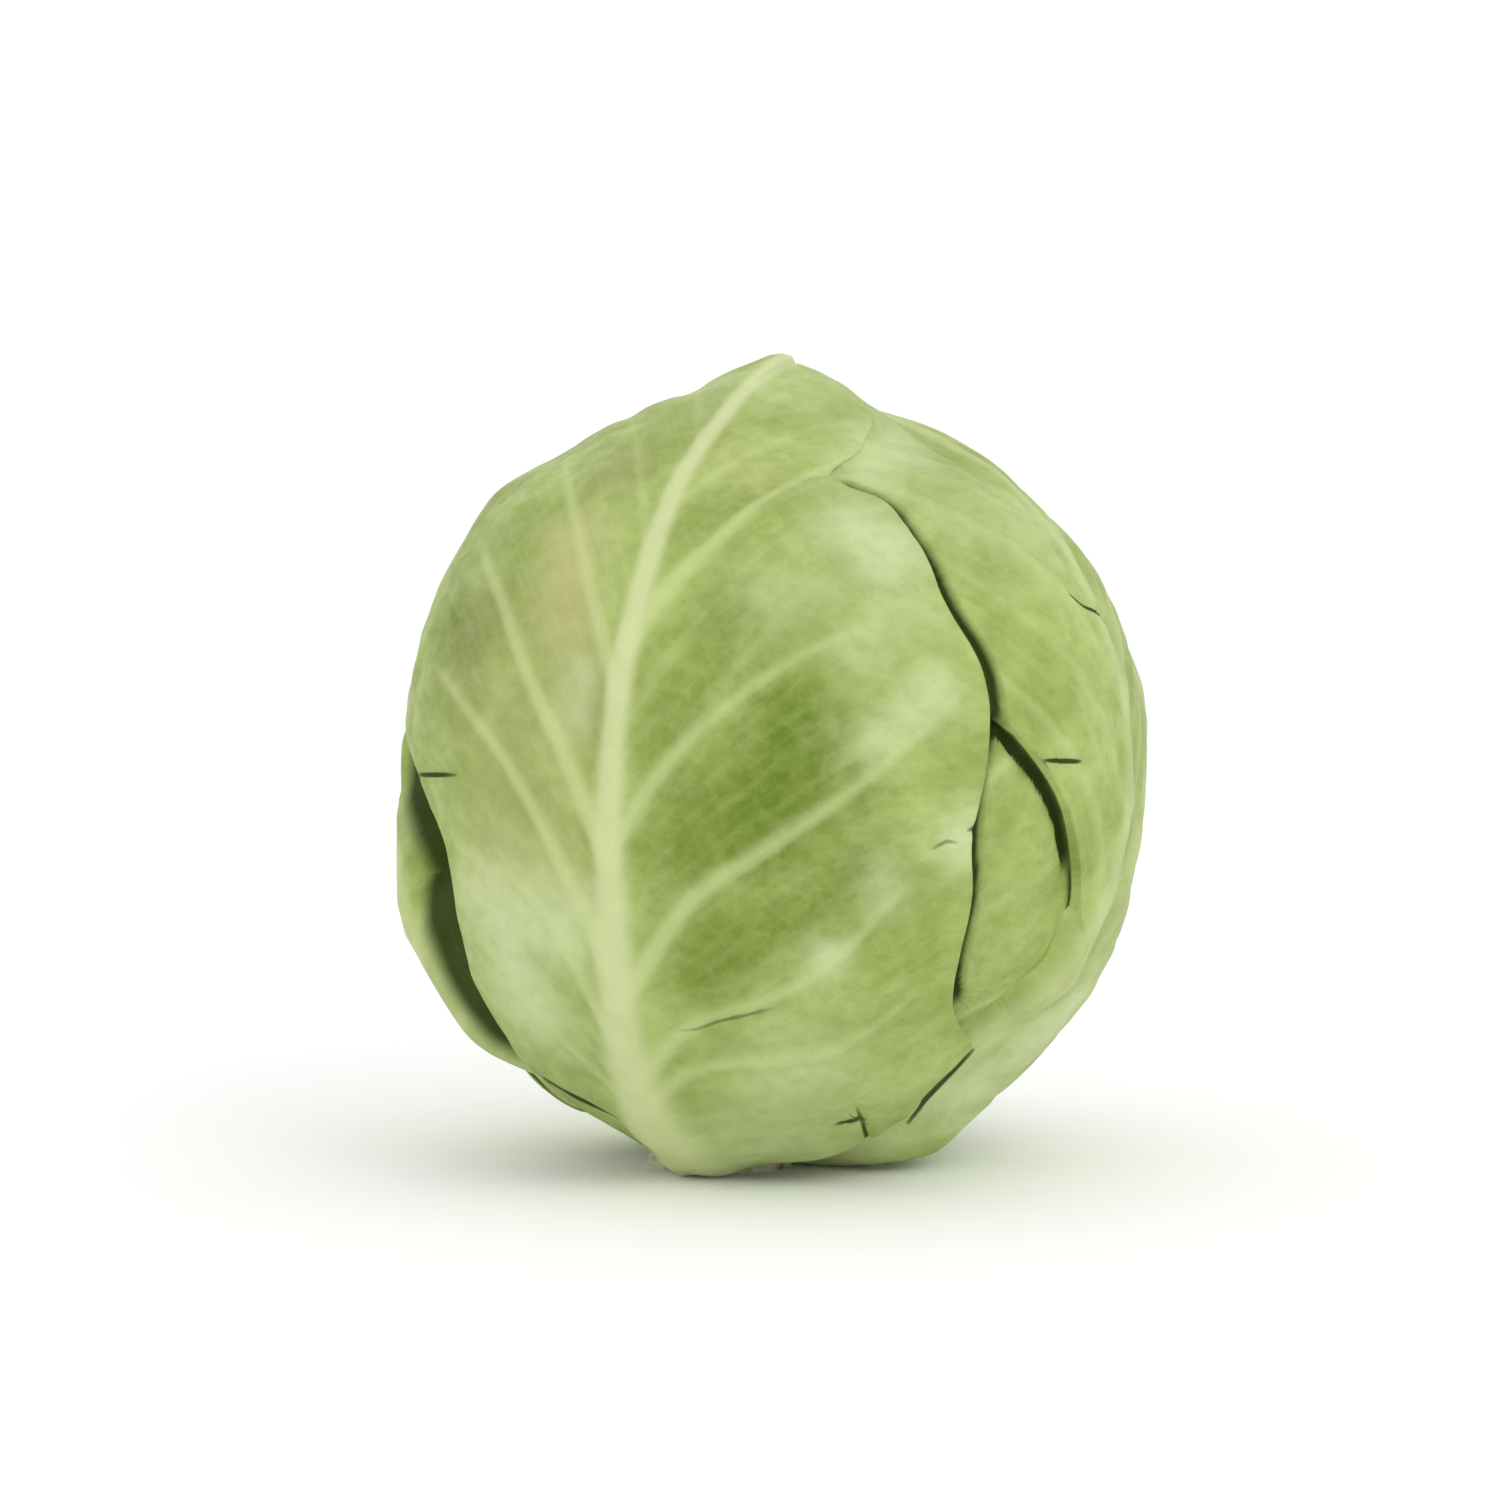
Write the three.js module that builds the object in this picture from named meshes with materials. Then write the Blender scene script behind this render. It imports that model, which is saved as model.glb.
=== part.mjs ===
// A head of green cabbage: six wrapper leaves folded one over the next round a tight heart, on a cut stalk.
// Millimetres, +Z up. The origin is on the table, under the middle of the head. -Y is the head's front.
//
// Every point is a direction from the head's centre and a reach along it. A leaf has its own coordinates on
// that sphere of directions, in degrees. "Along" runs from the stalk up the leaf, and "aside" runs square to
// it, to the right as seen from outside. "Offset" is how far aside of the midrib a point is. A side vein
// leaves the midrib at its "rise" and climbs as it goes: along = rise + veinSlope(rise) * |offset|. Rows of
// vertices follow the veins, so each point of a leaf has a rise and an offset.

import * as THREE from 'three';

const RADIANS = Math.PI / 180;

// ---- the head's outer form, before ribs ----
const CENTRE = new THREE.Vector3(-0.5, -0.5, 85.5);
// Reaches from the centre at every 15 degrees from straight up to straight down.
const PROFILE = [87.6, 82.9, 79.2, 79.8, 79.8, 79.2, 78.3, 79.2, 82, 83.8, 86.8, 91, 93];
const DEPTH_SHARE = 0.985;
const LEAN_RIGHT = 0.006;
// Slow waves over the head: how fast each turns along x, y and z, and where it starts.
const LUMPS = 0.006;
const LUMP_TURNS = { x: 3.1, y: 2.7, z: 4.3, zByX: 2 };
const LUMP_STARTS = { x: 1.2, y: 0.4, z: 0.5 };
// Single swells and dents: degrees round from the front to the right, degrees up, reach and height in mm.
const SWELLS = [
  { azimuth: -90, up: 79, reach: 15, height: -2.8 },
  { azimuth: 90, up: 63, reach: 14, height: 3.3 },
  { azimuth: -90, up: 45, reach: 9, height: 1.5 },
  { azimuth: -90, up: -21, reach: 13, height: 4 },
  { azimuth: -90, up: -70, reach: 12, height: -4 },
  { azimuth: -50, up: -64, reach: 9, height: -2.6 },
  { azimuth: 62, up: -69, reach: 11, height: 3.8 },
  { azimuth: 90, up: -54, reach: 10, height: -1.8 },
  { azimuth: -90, up: 15, reach: 10, height: -1.6 },
  { azimuth: 90, up: 23, reach: 10, height: -1.2 },
  { azimuth: 90, up: -14, reach: 9, height: -1.4 },
  { azimuth: 90, up: 9, reach: 8, height: 1 },
  { azimuth: 88, up: 43, reach: 11, height: -2.2 },
  { azimuth: -34, up: -63, reach: 10, height: -0.8 },
  { azimuth: -58, up: -56, reach: 9, height: -1.6 },
  { azimuth: 60, up: -52, reach: 8, height: -1.6 },
];
// Lengths over the head are measured on a ball of this radius.
const BALL = 80;

// The underside is pressed flat on the table, and hollowed round the stalk.
const UNDERSIDE_HEIGHT = 0.9;
const UNDERSIDE_SHARPNESS = 20;
const STALK_HOLLOW_DEPTH = 4.5;
const STALK_HOLLOW_ANGLE = 18;
const FLOOR_CLEARANCE = 0.3;
// The least fall of a direction that can meet the floor, for each mm along it.
const LEAST_FALL = 0.01;

// ---- the stalk: a cone that narrows up into the heart, cut off level at the table ----
const STALK_FOOT = new THREE.Vector3(-10, -5, -CENTRE.z);
const STALK_HALF_ANGLE = 10.5;
const STALK_TOP_REACH = 36;
// Rings up the stalk's side, as shares of its top's reach, and its top's share of its width.
const STALK_RINGS = [1.7, 1.04];
const STALK_TOP_SHARE = 0.7;
const STALK_SIDES = 32;

// ---- the heart: young leaves wrapped tight, seen as low steps and ribs on one dense ball ----
const HEART_SOCKET_ANGLE = 11.2;
const HEART_SOCKET_CLEARANCE = 1;
const HEART_LEAF_STEP = 1.4;
const HEART_STEP_SOFTNESS = 5;
const HEART_RIB_SHARE = 0.35;
const HEART_LEAVES = 4;
const HEART_FIRST_TIP = 140;
const HEART_TIP_STEP = 6;
const HEART_SIDES = 40;
const HEART_RINGS = 20;

// ---- wrapper leaves ----
const FRONT_AZIMUTH = -22;
const LEAF_TURN = 137.5;
const LEAF_START = 12;
const BLADE_THICKNESS = 1.3;
const MARGIN_THICKNESS = 0.9;
const LAYER_GAP = 0.8;
const TUCK_MARGIN = 2;
const TUCK_SOFTNESS = 15;
const PRESSED_RIB_SHARE = 0.25;
const THINNING_POWER = 3;

// A side vein's climb, in degrees along for each degree of offset, grows with its rise.
const VEIN_SLOPE_AT_STALK = 0.1;
const VEIN_SLOPE_GAINS = [{ from: 10, to: 30, gain: 0.25 }, { from: 30, to: 105, gain: 1.3 }];

const MIDRIB_BASE_HEIGHT = 5.2;
const MIDRIB_TIP_HEIGHT = 0.9;
const MIDRIB_FADE = 45;
const MIDRIB_BASE_HALF_ANGLE = 6.5;
const MIDRIB_TIP_HALF_ANGLE = 1.7;
const MIDRIB_NARROWING = 44;
const MIDRIB_ROUNDNESS = 2.2;
const VEIN_HEIGHT = 1.1;
const VEIN_FADE = 0.6;
const VEIN_ROOT_SHARE = 0.12;
const BLADE_PUFF = 0.7;

// The margin waves in and out, and its flare goes up and down. Turns are in radians for each degree of rise.
const MARGIN_WAVE_TURN = 0.21;
const MARGIN_WAVE_SHIFT = 1.7;
const MARGIN_RIPPLE = 0.6;
const MARGIN_RIPPLE_TURN = 0.47;
const MARGIN_WAVE_START = 30;
const MARGIN_WAVE_END = 25;
const FLARE_LEAST = 0.1;
const FLARE_TURN = 0.16;
const FLARE_SHIFT = 2.1;
const FLARE_POWER = 6;
// Rises between which the margins come to lie flat on the crown.
const CROWN_START = 95;
const CROWN_END = 150;

// The widest steps, in degrees, that a leaf's facets take up the margin and across the blade.
const ROW_STEP = 12;
const COLUMN_STEP = 8;
// Columns at the midrib's shoulder and foot, in half widths of it, and its most share of a narrow blade.
const RIB_SHOULDER = 0.75;
const RIB_FOOT = 1.6;
const RIB_MOST_SHARE = 0.3;

// How a direction's rise is found: a first guess of the slope, then steps that close in on it.
const SEARCH_SLOPE = 0.6;
const SEARCH_STEPS = 24;
const SEARCH_EASE = 1.9;

// Half widths, in degrees of offset, at equal steps of rise from the stalk to the tip.
const PLAIN_SIDE = [24, 40, 50, 54, 54, 51, 46, 40, 32, 22, 8];
// How far a margin waves in and out, in degrees of offset.
const PLAIN_WAVE = 0.9;

// Outermost first: each grows one LEAF_TURN on from the one outside it. A bite takes a share of one side's
// width away between two rises, with a soft end each. The midrib's sway is its aside at equal steps along.
// The flare of the margin and the lift of the blade, in mm, show where nothing lies over the leaf.
const WRAPPERS = [
  {
    name: 'leaf_front',
    tip: 176,
    left: [9, 27, 46, 62, 65, 60, 52, 43, 33, 22, 8],
    right: [45.5, 48, 54.5, 55.4, 42, 30, 20.6, 19.5, 16.5, 12, 6.5],
    wave: 0.3,
    bites: [
      { side: -1, from: 36, to: 49.5, softFrom: 12, softTo: 2, share: 0.31 },
      { side: 1, from: -20, to: 14.3, softFrom: 1, softTo: 2.5, share: 0.3 },
    ],
    midribSway: [1.5, 1, -0.6, -0.9, -2.1, -2.3, -2.4, -3.5, -2.4, -2],
    veins: [22, 32, 42, 53, 63, 78, 100, 122, 145],
    flare: 1.2,
    lift: 0,
  },
  {
    name: 'leaf_back_left',
    tip: 169,
    left: [24, 42, 52, 57, 57, 53, 45, 33, 22, 14, 6],
    right: [24, 38, 48, 54, 56, 54, 50, 44, 36, 27, 12],
    midribSway: [0, 3, 4, 2],
    veins: [21, 31, 42, 53, 65, 78, 92, 109, 131],
    flare: 1.6,
    lift: 0.6,
  },
  {
    name: 'leaf_right',
    tip: 173,
    left: [20, 30, 36, 28, 40, 47, 47, 40, 32, 22, 8],
    right: [26, 44, 50, 52, 52, 50, 46, 40, 32, 22, 8],
    wave: 0.6,
    bites: [{ side: -1, from: 20, to: 70.2, softFrom: 8, softTo: 1.4, share: 0.84 }],
    midribSway: [0, -3, -6.5, -1.5, 4, 1.5, 0, 0, 0],
    veins: [21, 31, 41, 52, 63, 76, 90, 107, 130],
    flare: 1.8,
    lift: 0.6,
  },
  {
    name: 'leaf_left',
    tip: 164,
    right: [22, 34, 44, 50, 52, 50, 46, 40, 32, 22, 8],
    midribSway: [0, -6, -8, -4, 0],
    veins: [22, 33, 45, 57, 70, 84, 101, 124],
    flare: 2.2,
    lift: 1,
  },
  {
    name: 'leaf_back_right',
    tip: 166,
    midribSway: [0, 2, 0, -2],
    veins: [23, 36, 49, 63, 79, 97, 120],
    flare: 1.5,
    lift: 0.6,
  },
  {
    name: 'leaf_front_under',
    tip: 160,
    midribSway: [0, 0, 2, 0],
    veins: [24, 38, 52, 68, 87, 110],
    flare: 0.8,
    lift: 0,
  },
];

const COLOURS = { blade: 0xa3b96b, heart: 0xdfe3b8, stalk: 0xe6e2c2 };
const ROUGHNESS = 0.55;

// ---- small maths ----
const clamp = (x, low, high) => Math.min(high, Math.max(low, x));

function smooth(from, to, x) {
  const t = clamp((x - from) / (to - from), 0, 1);
  return t * t * (3 - 2 * t);
}

// A curve through equally spaced values, read at a share from 0 to 1 of its length.
function through(values, share) {
  const x = clamp(share, 0, 1) * (values.length - 1);
  const i = Math.min(Math.floor(x), values.length - 2);
  const f = x - i;
  const [b, c] = [values[i], values[i + 1]];
  const a = values[i - 1] ?? 2 * b - c;
  const d = values[i + 2] ?? 2 * c - b;
  return b + 0.5 * f * (c - a + f * (2 * a - 5 * b + 4 * c - d + f * (3 * (b - c) + d - a)));
}

// ---- the head's outer form ----
const stalkLine = STALK_FOOT.clone().normalize();

const angleBetween = (d, line) => Math.acos(clamp(d.dot(line), -1, 1)) / RADIANS;

function lumpsAt(d) {
  const level = Math.sin(LUMP_TURNS.x * d.x + LUMP_STARTS.x) * Math.sin(LUMP_TURNS.y * d.y + LUMP_STARTS.y);
  return level + Math.sin(LUMP_TURNS.z * d.z + LUMP_TURNS.zByX * d.x + LUMP_STARTS.z);
}

const swellsWithMiddles = SWELLS.map((swell) => {
  const [azimuth, up] = [swell.azimuth * RADIANS, swell.up * RADIANS];
  const level = new THREE.Vector3(Math.sin(azimuth), -Math.cos(azimuth), 0);
  return { ...swell, middle: level.multiplyScalar(Math.cos(up)).setZ(Math.sin(up)) };
});

function swellsAt(d) {
  return swellsWithMiddles.reduce((sum, { middle, reach, height }) => {
    const away = angleBetween(d, middle) * RADIANS * BALL;
    return sum + (height / BALL) * Math.exp(-((away / reach) ** 2));
  }, 0);
}

function headReach(d) {
  const fromTop = Math.acos(clamp(d.z, -1, 1)) / Math.PI;
  const round = through(PROFILE, fromTop) / Math.hypot(d.x, d.y / DEPTH_SHARE, d.z);
  const plump = 1 + LEAN_RIGHT * d.x + LUMPS * lumpsAt(d) + swellsAt(d);
  const hollow = STALK_HOLLOW_DEPTH * Math.exp(-((angleBetween(d, stalkLine) / STALK_HOLLOW_ANGLE) ** 2));
  const sink = Math.max(0, -d.z) / (CENTRE.z - UNDERSIDE_HEIGHT - hollow);
  const power = UNDERSIDE_SHARPNESS;
  return ((round * plump) ** -power + sink ** power) ** (-1 / power);
}

// ---- a leaf's coordinates ----
function placeLeaf(leaf, index) {
  const azimuth = (FRONT_AZIMUTH - index * LEAF_TURN) * RADIANS;
  const ahead = new THREE.Vector3(Math.sin(azimuth), -Math.cos(azimuth), 0);
  ahead.addScaledVector(stalkLine, -ahead.dot(stalkLine)).normalize();
  const aside = new THREE.Vector3().crossVectors(ahead, stalkLine);
  const plain = { left: PLAIN_SIDE, right: PLAIN_SIDE, wave: PLAIN_WAVE, bites: [], midribSway: [0, 0] };
  return { ...plain, ...leaf, index, ahead, aside };
}

function veinSlope(rise) {
  const gains = VEIN_SLOPE_GAINS.map(({ from, to, gain }) => gain * smooth(from, to, rise));
  return gains.reduce((sum, gain) => sum + gain, VEIN_SLOPE_AT_STALK);
}

const midribAside = (leaf, along) => through(leaf.midribSway, along / 180);

function directionAt(leaf, rise, offset) {
  const along = rise + veinSlope(rise) * Math.abs(offset);
  const aside = (offset + midribAside(leaf, along)) * RADIANS;
  return new THREE.Vector3()
    .addScaledVector(stalkLine, Math.cos(aside) * Math.cos(along * RADIANS))
    .addScaledVector(leaf.ahead, Math.cos(aside) * Math.sin(along * RADIANS))
    .addScaledVector(leaf.aside, Math.sin(aside));
}

// The other way round: where a direction is on a leaf. The rise is found by closing in on it.
function leafPlace(leaf, d) {
  let along = Math.atan2(d.dot(leaf.ahead), d.dot(stalkLine)) / RADIANS;
  if (along < -90) along += 360;
  const offset = Math.asin(clamp(d.dot(leaf.aside), -1, 1)) / RADIANS - midribAside(leaf, along);
  let rise = along - SEARCH_SLOPE * Math.abs(offset);
  for (let i = 0; i < SEARCH_STEPS; i += 1) {
    rise += (along - rise - veinSlope(rise) * Math.abs(offset)) / SEARCH_EASE;
  }
  return { along, offset, rise };
}

function fullWidth(leaf, rise, side) {
  return through(side < 0 ? leaf.left : leaf.right, (rise - LEAF_START) / (leaf.tip - LEAF_START));
}

function marginWidth(leaf, rise, side) {
  let width = fullWidth(leaf, rise, side);
  for (const bite of leaf.bites.filter((each) => each.side === side)) {
    const begun = smooth(bite.from - bite.softFrom, bite.from + bite.softFrom, rise);
    const ended = smooth(bite.to - bite.softTo, bite.to + bite.softTo, rise);
    width *= 1 - bite.share * (begun - ended);
  }
  const wave = Math.sin(MARGIN_WAVE_TURN * rise + MARGIN_WAVE_SHIFT * leaf.index + side);
  const ripple = MARGIN_RIPPLE * Math.sin(MARGIN_RIPPLE_TURN * rise + leaf.index + side);
  const begun = smooth(LEAF_START, MARGIN_WAVE_START, rise);
  const ended = smooth(leaf.tip - MARGIN_WAVE_END, leaf.tip, rise);
  return width + leaf.wave * (wave + ripple) * begun * (1 - ended);
}

// 1 where a leaf lies over what is inside it, and falling to 0 beside it.
function cover(leaf, place, margin = TUCK_MARGIN, softness = TUCK_SOFTNESS) {
  const beside = Math.abs(place.offset) - fullWidth(leaf, place.rise, place.offset);
  const beyond = place.rise - leaf.tip;
  const before = LEAF_START - place.along;
  return 1 - smooth(margin, margin + softness, Math.max(beside, beyond, before));
}

// ---- ribs and thickness ----
function midribHalfAngle(along) {
  const narrowing = Math.exp((LEAF_START - along) / MIDRIB_NARROWING);
  return MIDRIB_TIP_HALF_ANGLE + (MIDRIB_BASE_HALF_ANGLE - MIDRIB_TIP_HALF_ANGLE) * narrowing;
}

function midribHeight(along, offset) {
  const fade = Math.exp((LEAF_START - along) / MIDRIB_FADE);
  const crest = MIDRIB_TIP_HEIGHT + (MIDRIB_BASE_HEIGHT - MIDRIB_TIP_HEIGHT) * fade;
  return crest * Math.exp(-((Math.abs(offset) / midribHalfAngle(along)) ** MIDRIB_ROUNDNESS));
}

const ribRoom = (along, offset) => PRESSED_RIB_SHARE * (midribHeight(along, offset) + VEIN_HEIGHT);

const bladeThickness = (share) =>
  BLADE_THICKNESS + (MARGIN_THICKNESS - BLADE_THICKNESS) * share ** THINNING_POWER;

const wrappers = WRAPPERS.map(placeLeaf);

// How deep the leaves outside the one at an index push it, and how much they cover it, from 0 to 1.
function tuck(index, d) {
  let depth = 0;
  let open = 1;
  for (const leaf of wrappers.slice(0, index)) {
    const place = leafPlace(leaf, d);
    const over = cover(leaf, place);
    depth += over * (BLADE_THICKNESS + LAYER_GAP + (1 - open) * ribRoom(place.along, place.offset));
    open *= 1 - over;
  }
  return { depth, covered: 1 - open };
}

// ---- geometry ----
const pointAt = (d, reach) => [d.x * reach + CENTRE.x, d.y * reach + CENTRE.y, d.z * reach + CENTRE.z];

function indexed(points, triangles) {
  const geometry = new THREE.BufferGeometry();
  geometry.setAttribute('position', new THREE.Float32BufferAttribute(points.flat(), 3));
  geometry.setIndex(triangles);
  geometry.computeVertexNormals();
  return geometry;
}

// A closed sheet from rows of places, its triangles alike on both faces and mirrored about the midrib.
function sheetGeometry(rows) {
  const across = rows[0].length;
  const places = rows.flat();
  const count = places.length;
  const triangles = [];
  const bothFaces = (a, b, c) => triangles.push(a, b, c, count + a, count + c, count + b);
  const rim = (a, b) => triangles.push(b, a, count + a, b, count + a, count + b);
  for (let i = 0; i + 1 < rows.length; i += 1) {
    for (let j = 0; j + 1 < across; j += 1) {
      const [a, b] = [i * across + j, i * across + j + 1];
      const [e, c] = [a + across, b + across];
      if (j < (across - 1) / 2) {
        bothFaces(a, b, c);
        bothFaces(a, c, e);
      } else {
        bothFaces(b, c, e);
        bothFaces(b, e, a);
      }
    }
    rim((i + 1) * across, i * across);
    rim((i + 1) * across - 1, (i + 2) * across - 1);
  }
  const last = (rows.length - 1) * across;
  for (let j = 0; j + 1 < across; j += 1) {
    rim(j, j + 1);
    rim(last + j + 1, last + j);
  }
  const points = [...places.map((p) => pointAt(p.d, p.outer)), ...places.map((p) => pointAt(p.d, p.inner))];
  return indexed(points, triangles);
}

// A closed skin from rings of points, between one point at each end.
function ringsGeometry(first, rings, final) {
  const sides = rings[0].length;
  const end = 1 + rings.length * sides;
  const at = (ring, i) => 1 + ring * sides + (i % sides);
  const triangles = [];
  for (let i = 0; i < sides; i += 1) {
    triangles.push(0, at(0, i + 1), at(0, i));
    for (let ring = 0; ring + 1 < rings.length; ring += 1) {
      triangles.push(at(ring, i), at(ring, i + 1), at(ring + 1, i + 1));
      triangles.push(at(ring, i), at(ring + 1, i + 1), at(ring + 1, i));
    }
    triangles.push(at(rings.length - 1, i), at(rings.length - 1, i + 1), end);
  }
  return indexed([first, ...rings.flat(), final], triangles);
}

// ---- the wrapper leaves ----

// Rows on each side vein and between each two, closer where the margin runs in or out steeply.
function leafRows(leaf) {
  const jump = (from, to, side) => Math.abs(marginWidth(leaf, to, side) - marginWidth(leaf, from, side));
  const halve = (from, to) => [...split(from, (from + to) / 2), ...split((from + to) / 2, to)];
  const split = (from, to) =>
    Math.max(to - from, jump(from, to, -1), jump(from, to, 1)) > ROW_STEP ? halve(from, to) : [from];
  const veins = [LEAF_START, ...leaf.veins, leaf.tip];
  const rows = veins.slice(0, -1).flatMap((vein, i) => {
    const gap = veins[i + 1] - vein;
    return halve(vein, veins[i + 1]).map((rise, step) =>
      ({ rise, between: (rise - vein) / gap, onVein: i > 0 && step === 0 }));
  });
  return [...rows, { rise: leaf.tip, between: 0, onVein: false }];
}

// Columns: two on each half of the midrib, then even steps to the margin.
function leafColumns(leaf, rise) {
  const half = (side) => {
    const width = marginWidth(leaf, rise, side);
    const rib = Math.min(midribHalfAngle(rise), width * RIB_MOST_SHARE);
    const foot = RIB_FOOT * rib;
    const steps = Math.ceil(Math.max(...leaf.left, ...leaf.right) / COLUMN_STEP);
    const blade = Array.from({ length: steps }, (_, i) => foot + ((width - foot) * (i + 1)) / steps);
    return [RIB_SHOULDER * rib, foot, ...blade].map((x) => ({ offset: side * x, share: x / width }));
  };
  return [...half(-1).reverse(), { offset: 0, share: 0 }, ...half(1)];
}

function leafFaces(leaf, row, column) {
  const d = directionAt(leaf, row.rise, column.offset);
  const along = row.rise + veinSlope(row.rise) * Math.abs(column.offset);
  const { depth, covered } = tuck(leaf.index, d);
  const fading = (1 - VEIN_FADE * column.share) * smooth(0, VEIN_ROOT_SHARE, column.share);
  const vein = row.onVein ? VEIN_HEIGHT * fading : 0;
  const puff = BLADE_PUFF * Math.sin(Math.PI * row.between) * Math.sin(Math.PI * column.share);
  const pressed = 1 - covered * (1 - PRESSED_RIB_SHARE);
  const relief = (midribHeight(along, column.offset) + vein + puff) * pressed;
  const turn = FLARE_TURN * row.rise + FLARE_SHIFT * leaf.index + Math.sign(column.offset);
  const flare = leaf.flare * (FLARE_LEAST + ((1 - FLARE_LEAST) * (1 + Math.sin(turn))) / 2);
  const free = (1 - covered) ** 2 * (1 - smooth(CROWN_START, CROWN_END, row.rise));
  const loose = (leaf.lift + flare * column.share ** FLARE_POWER) * free;
  const blade = headReach(d) - depth - covered * ribRoom(along, column.offset) + loose;
  const floor = (CENTRE.z - FLOOR_CLEARANCE) / Math.max(LEAST_FALL, -d.z);
  const outer = Math.min(blade + relief, floor);
  return { d, outer, inner: Math.min(blade, outer) - bladeThickness(column.share) };
}

function leafGeometry(leaf) {
  return sheetGeometry(leafRows(leaf).map((row) =>
    leafColumns(leaf, row.rise).map((column) => leafFaces(leaf, row, column))));
}

// ---- the stalk and the heart ----
const stalkAhead = wrappers[0].ahead;
const stalkAside = wrappers[0].aside;

// A direction at an angle off the stalk's line, turned so far round it.
function roundStalk(angle, turn) {
  return new THREE.Vector3()
    .addScaledVector(stalkLine, Math.cos(angle * RADIANS))
    .addScaledVector(stalkAhead, Math.sin(angle * RADIANS) * Math.cos(turn))
    .addScaledVector(stalkAside, Math.sin(angle * RADIANS) * Math.sin(turn));
}

function ringOf(sides, angle, reachAt) {
  return Array.from({ length: sides }, (_, i) => {
    const d = roundStalk(angle, (2 * Math.PI * i) / sides);
    return pointAt(d, reachAt(d));
  });
}

function stalkGeometry() {
  const cut = (d) => CENTRE.z / -d.z;
  const foot = pointAt(stalkLine, cut(stalkLine));
  const top = pointAt(stalkLine, STALK_TOP_REACH);
  const rings = [
    ringOf(STALK_SIDES, STALK_HALF_ANGLE, cut),
    ...STALK_RINGS.map((share) => ringOf(STALK_SIDES, STALK_HALF_ANGLE, () => share * STALK_TOP_REACH)),
    ringOf(STALK_SIDES, STALK_TOP_SHARE * STALK_HALF_ANGLE, () => STALK_TOP_REACH),
  ];
  return ringsGeometry(foot, rings, top);
}

const heartLeaves = Array.from({ length: HEART_LEAVES }, (_, i) =>
  placeLeaf({ tip: HEART_FIRST_TIP - HEART_TIP_STEP * i }, wrappers.length + i));

function heartReach(d) {
  let reach = headReach(d) - tuck(wrappers.length, d).depth;
  let open = 1;
  for (const leaf of heartLeaves) {
    const place = leafPlace(leaf, d);
    const over = open * cover(leaf, place, 0, HEART_STEP_SOFTNESS);
    reach -= HEART_RIB_SHARE * over * (MIDRIB_BASE_HEIGHT - midribHeight(place.along, place.offset));
    open -= over;
    reach -= HEART_LEAF_STEP * open;
  }
  return reach;
}

function heartGeometry() {
  const socketTop = STALK_TOP_REACH - HEART_SOCKET_CLEARANCE;
  const rings = [
    ringOf(HEART_SIDES, STALK_TOP_SHARE * HEART_SOCKET_ANGLE, () => socketTop),
    ringOf(HEART_SIDES, HEART_SOCKET_ANGLE, () => socketTop),
  ];
  for (let i = 0; i < HEART_RINGS; i += 1) {
    const angle = HEART_SOCKET_ANGLE + ((180 - HEART_SOCKET_ANGLE) * i) / HEART_RINGS;
    rings.push(ringOf(HEART_SIDES, angle, heartReach));
  }
  const crown = roundStalk(180, 0);
  return ringsGeometry(pointAt(stalkLine, socketTop), rings, pointAt(crown, heartReach(crown)));
}

// ---- the head ----
function piece(name, geometry, color) {
  const look = new THREE.MeshStandardMaterial({ color, roughness: ROUGHNESS, metalness: 0 });
  const mesh = new THREE.Mesh(geometry, look);
  mesh.name = name;
  return mesh;
}

const cabbage = new THREE.Group();
cabbage.name = 'cabbage_head';
cabbage.add(piece('stalk', stalkGeometry(), COLOURS.stalk));
cabbage.add(piece('heart', heartGeometry(), COLOURS.heart));
for (const leaf of wrappers) cabbage.add(piece(leaf.name, leafGeometry(leaf), COLOURS.blade));

export default cabbage;
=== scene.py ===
import itertools
import math

import bpy
import numpy as np
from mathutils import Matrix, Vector


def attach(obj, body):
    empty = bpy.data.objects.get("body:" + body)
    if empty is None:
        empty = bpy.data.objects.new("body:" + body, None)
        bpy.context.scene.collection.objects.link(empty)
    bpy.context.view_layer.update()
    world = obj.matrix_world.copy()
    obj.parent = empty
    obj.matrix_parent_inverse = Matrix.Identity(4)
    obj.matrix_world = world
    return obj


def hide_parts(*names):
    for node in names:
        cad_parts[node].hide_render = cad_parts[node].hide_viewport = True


# A head of green cabbage. Each leaf of the frame is made again as a fine sheet of the same form, with its
# side veins, puffed blade, torn places and waxy colour. The maths is in millimetres and degrees, as in the
# solids. A point of a leaf has a "rise" and an "offset": it lies offset degrees aside of the midrib, on the
# side vein that leaves the midrib rise degrees from the stalk.

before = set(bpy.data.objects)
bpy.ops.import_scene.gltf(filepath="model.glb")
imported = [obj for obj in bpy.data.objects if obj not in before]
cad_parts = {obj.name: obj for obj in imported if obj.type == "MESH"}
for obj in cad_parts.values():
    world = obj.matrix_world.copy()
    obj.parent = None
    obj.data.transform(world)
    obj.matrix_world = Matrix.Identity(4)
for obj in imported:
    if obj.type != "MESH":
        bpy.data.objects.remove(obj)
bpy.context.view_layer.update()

MM = 0.001
RADIANS = math.pi / 180

# ---- the head's outer form, as in the solids ----
CENTRE = np.array([-0.5, -0.5, 85.5])
# Reaches from the centre at every 15 degrees from straight up to straight down.
PROFILE = [87.6, 82.9, 79.2, 79.8, 79.8, 79.2, 78.3, 79.2, 82, 83.8, 86.8, 91, 93]
DEPTH_SHARE = 0.985
LEAN_RIGHT = 0.006
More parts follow.
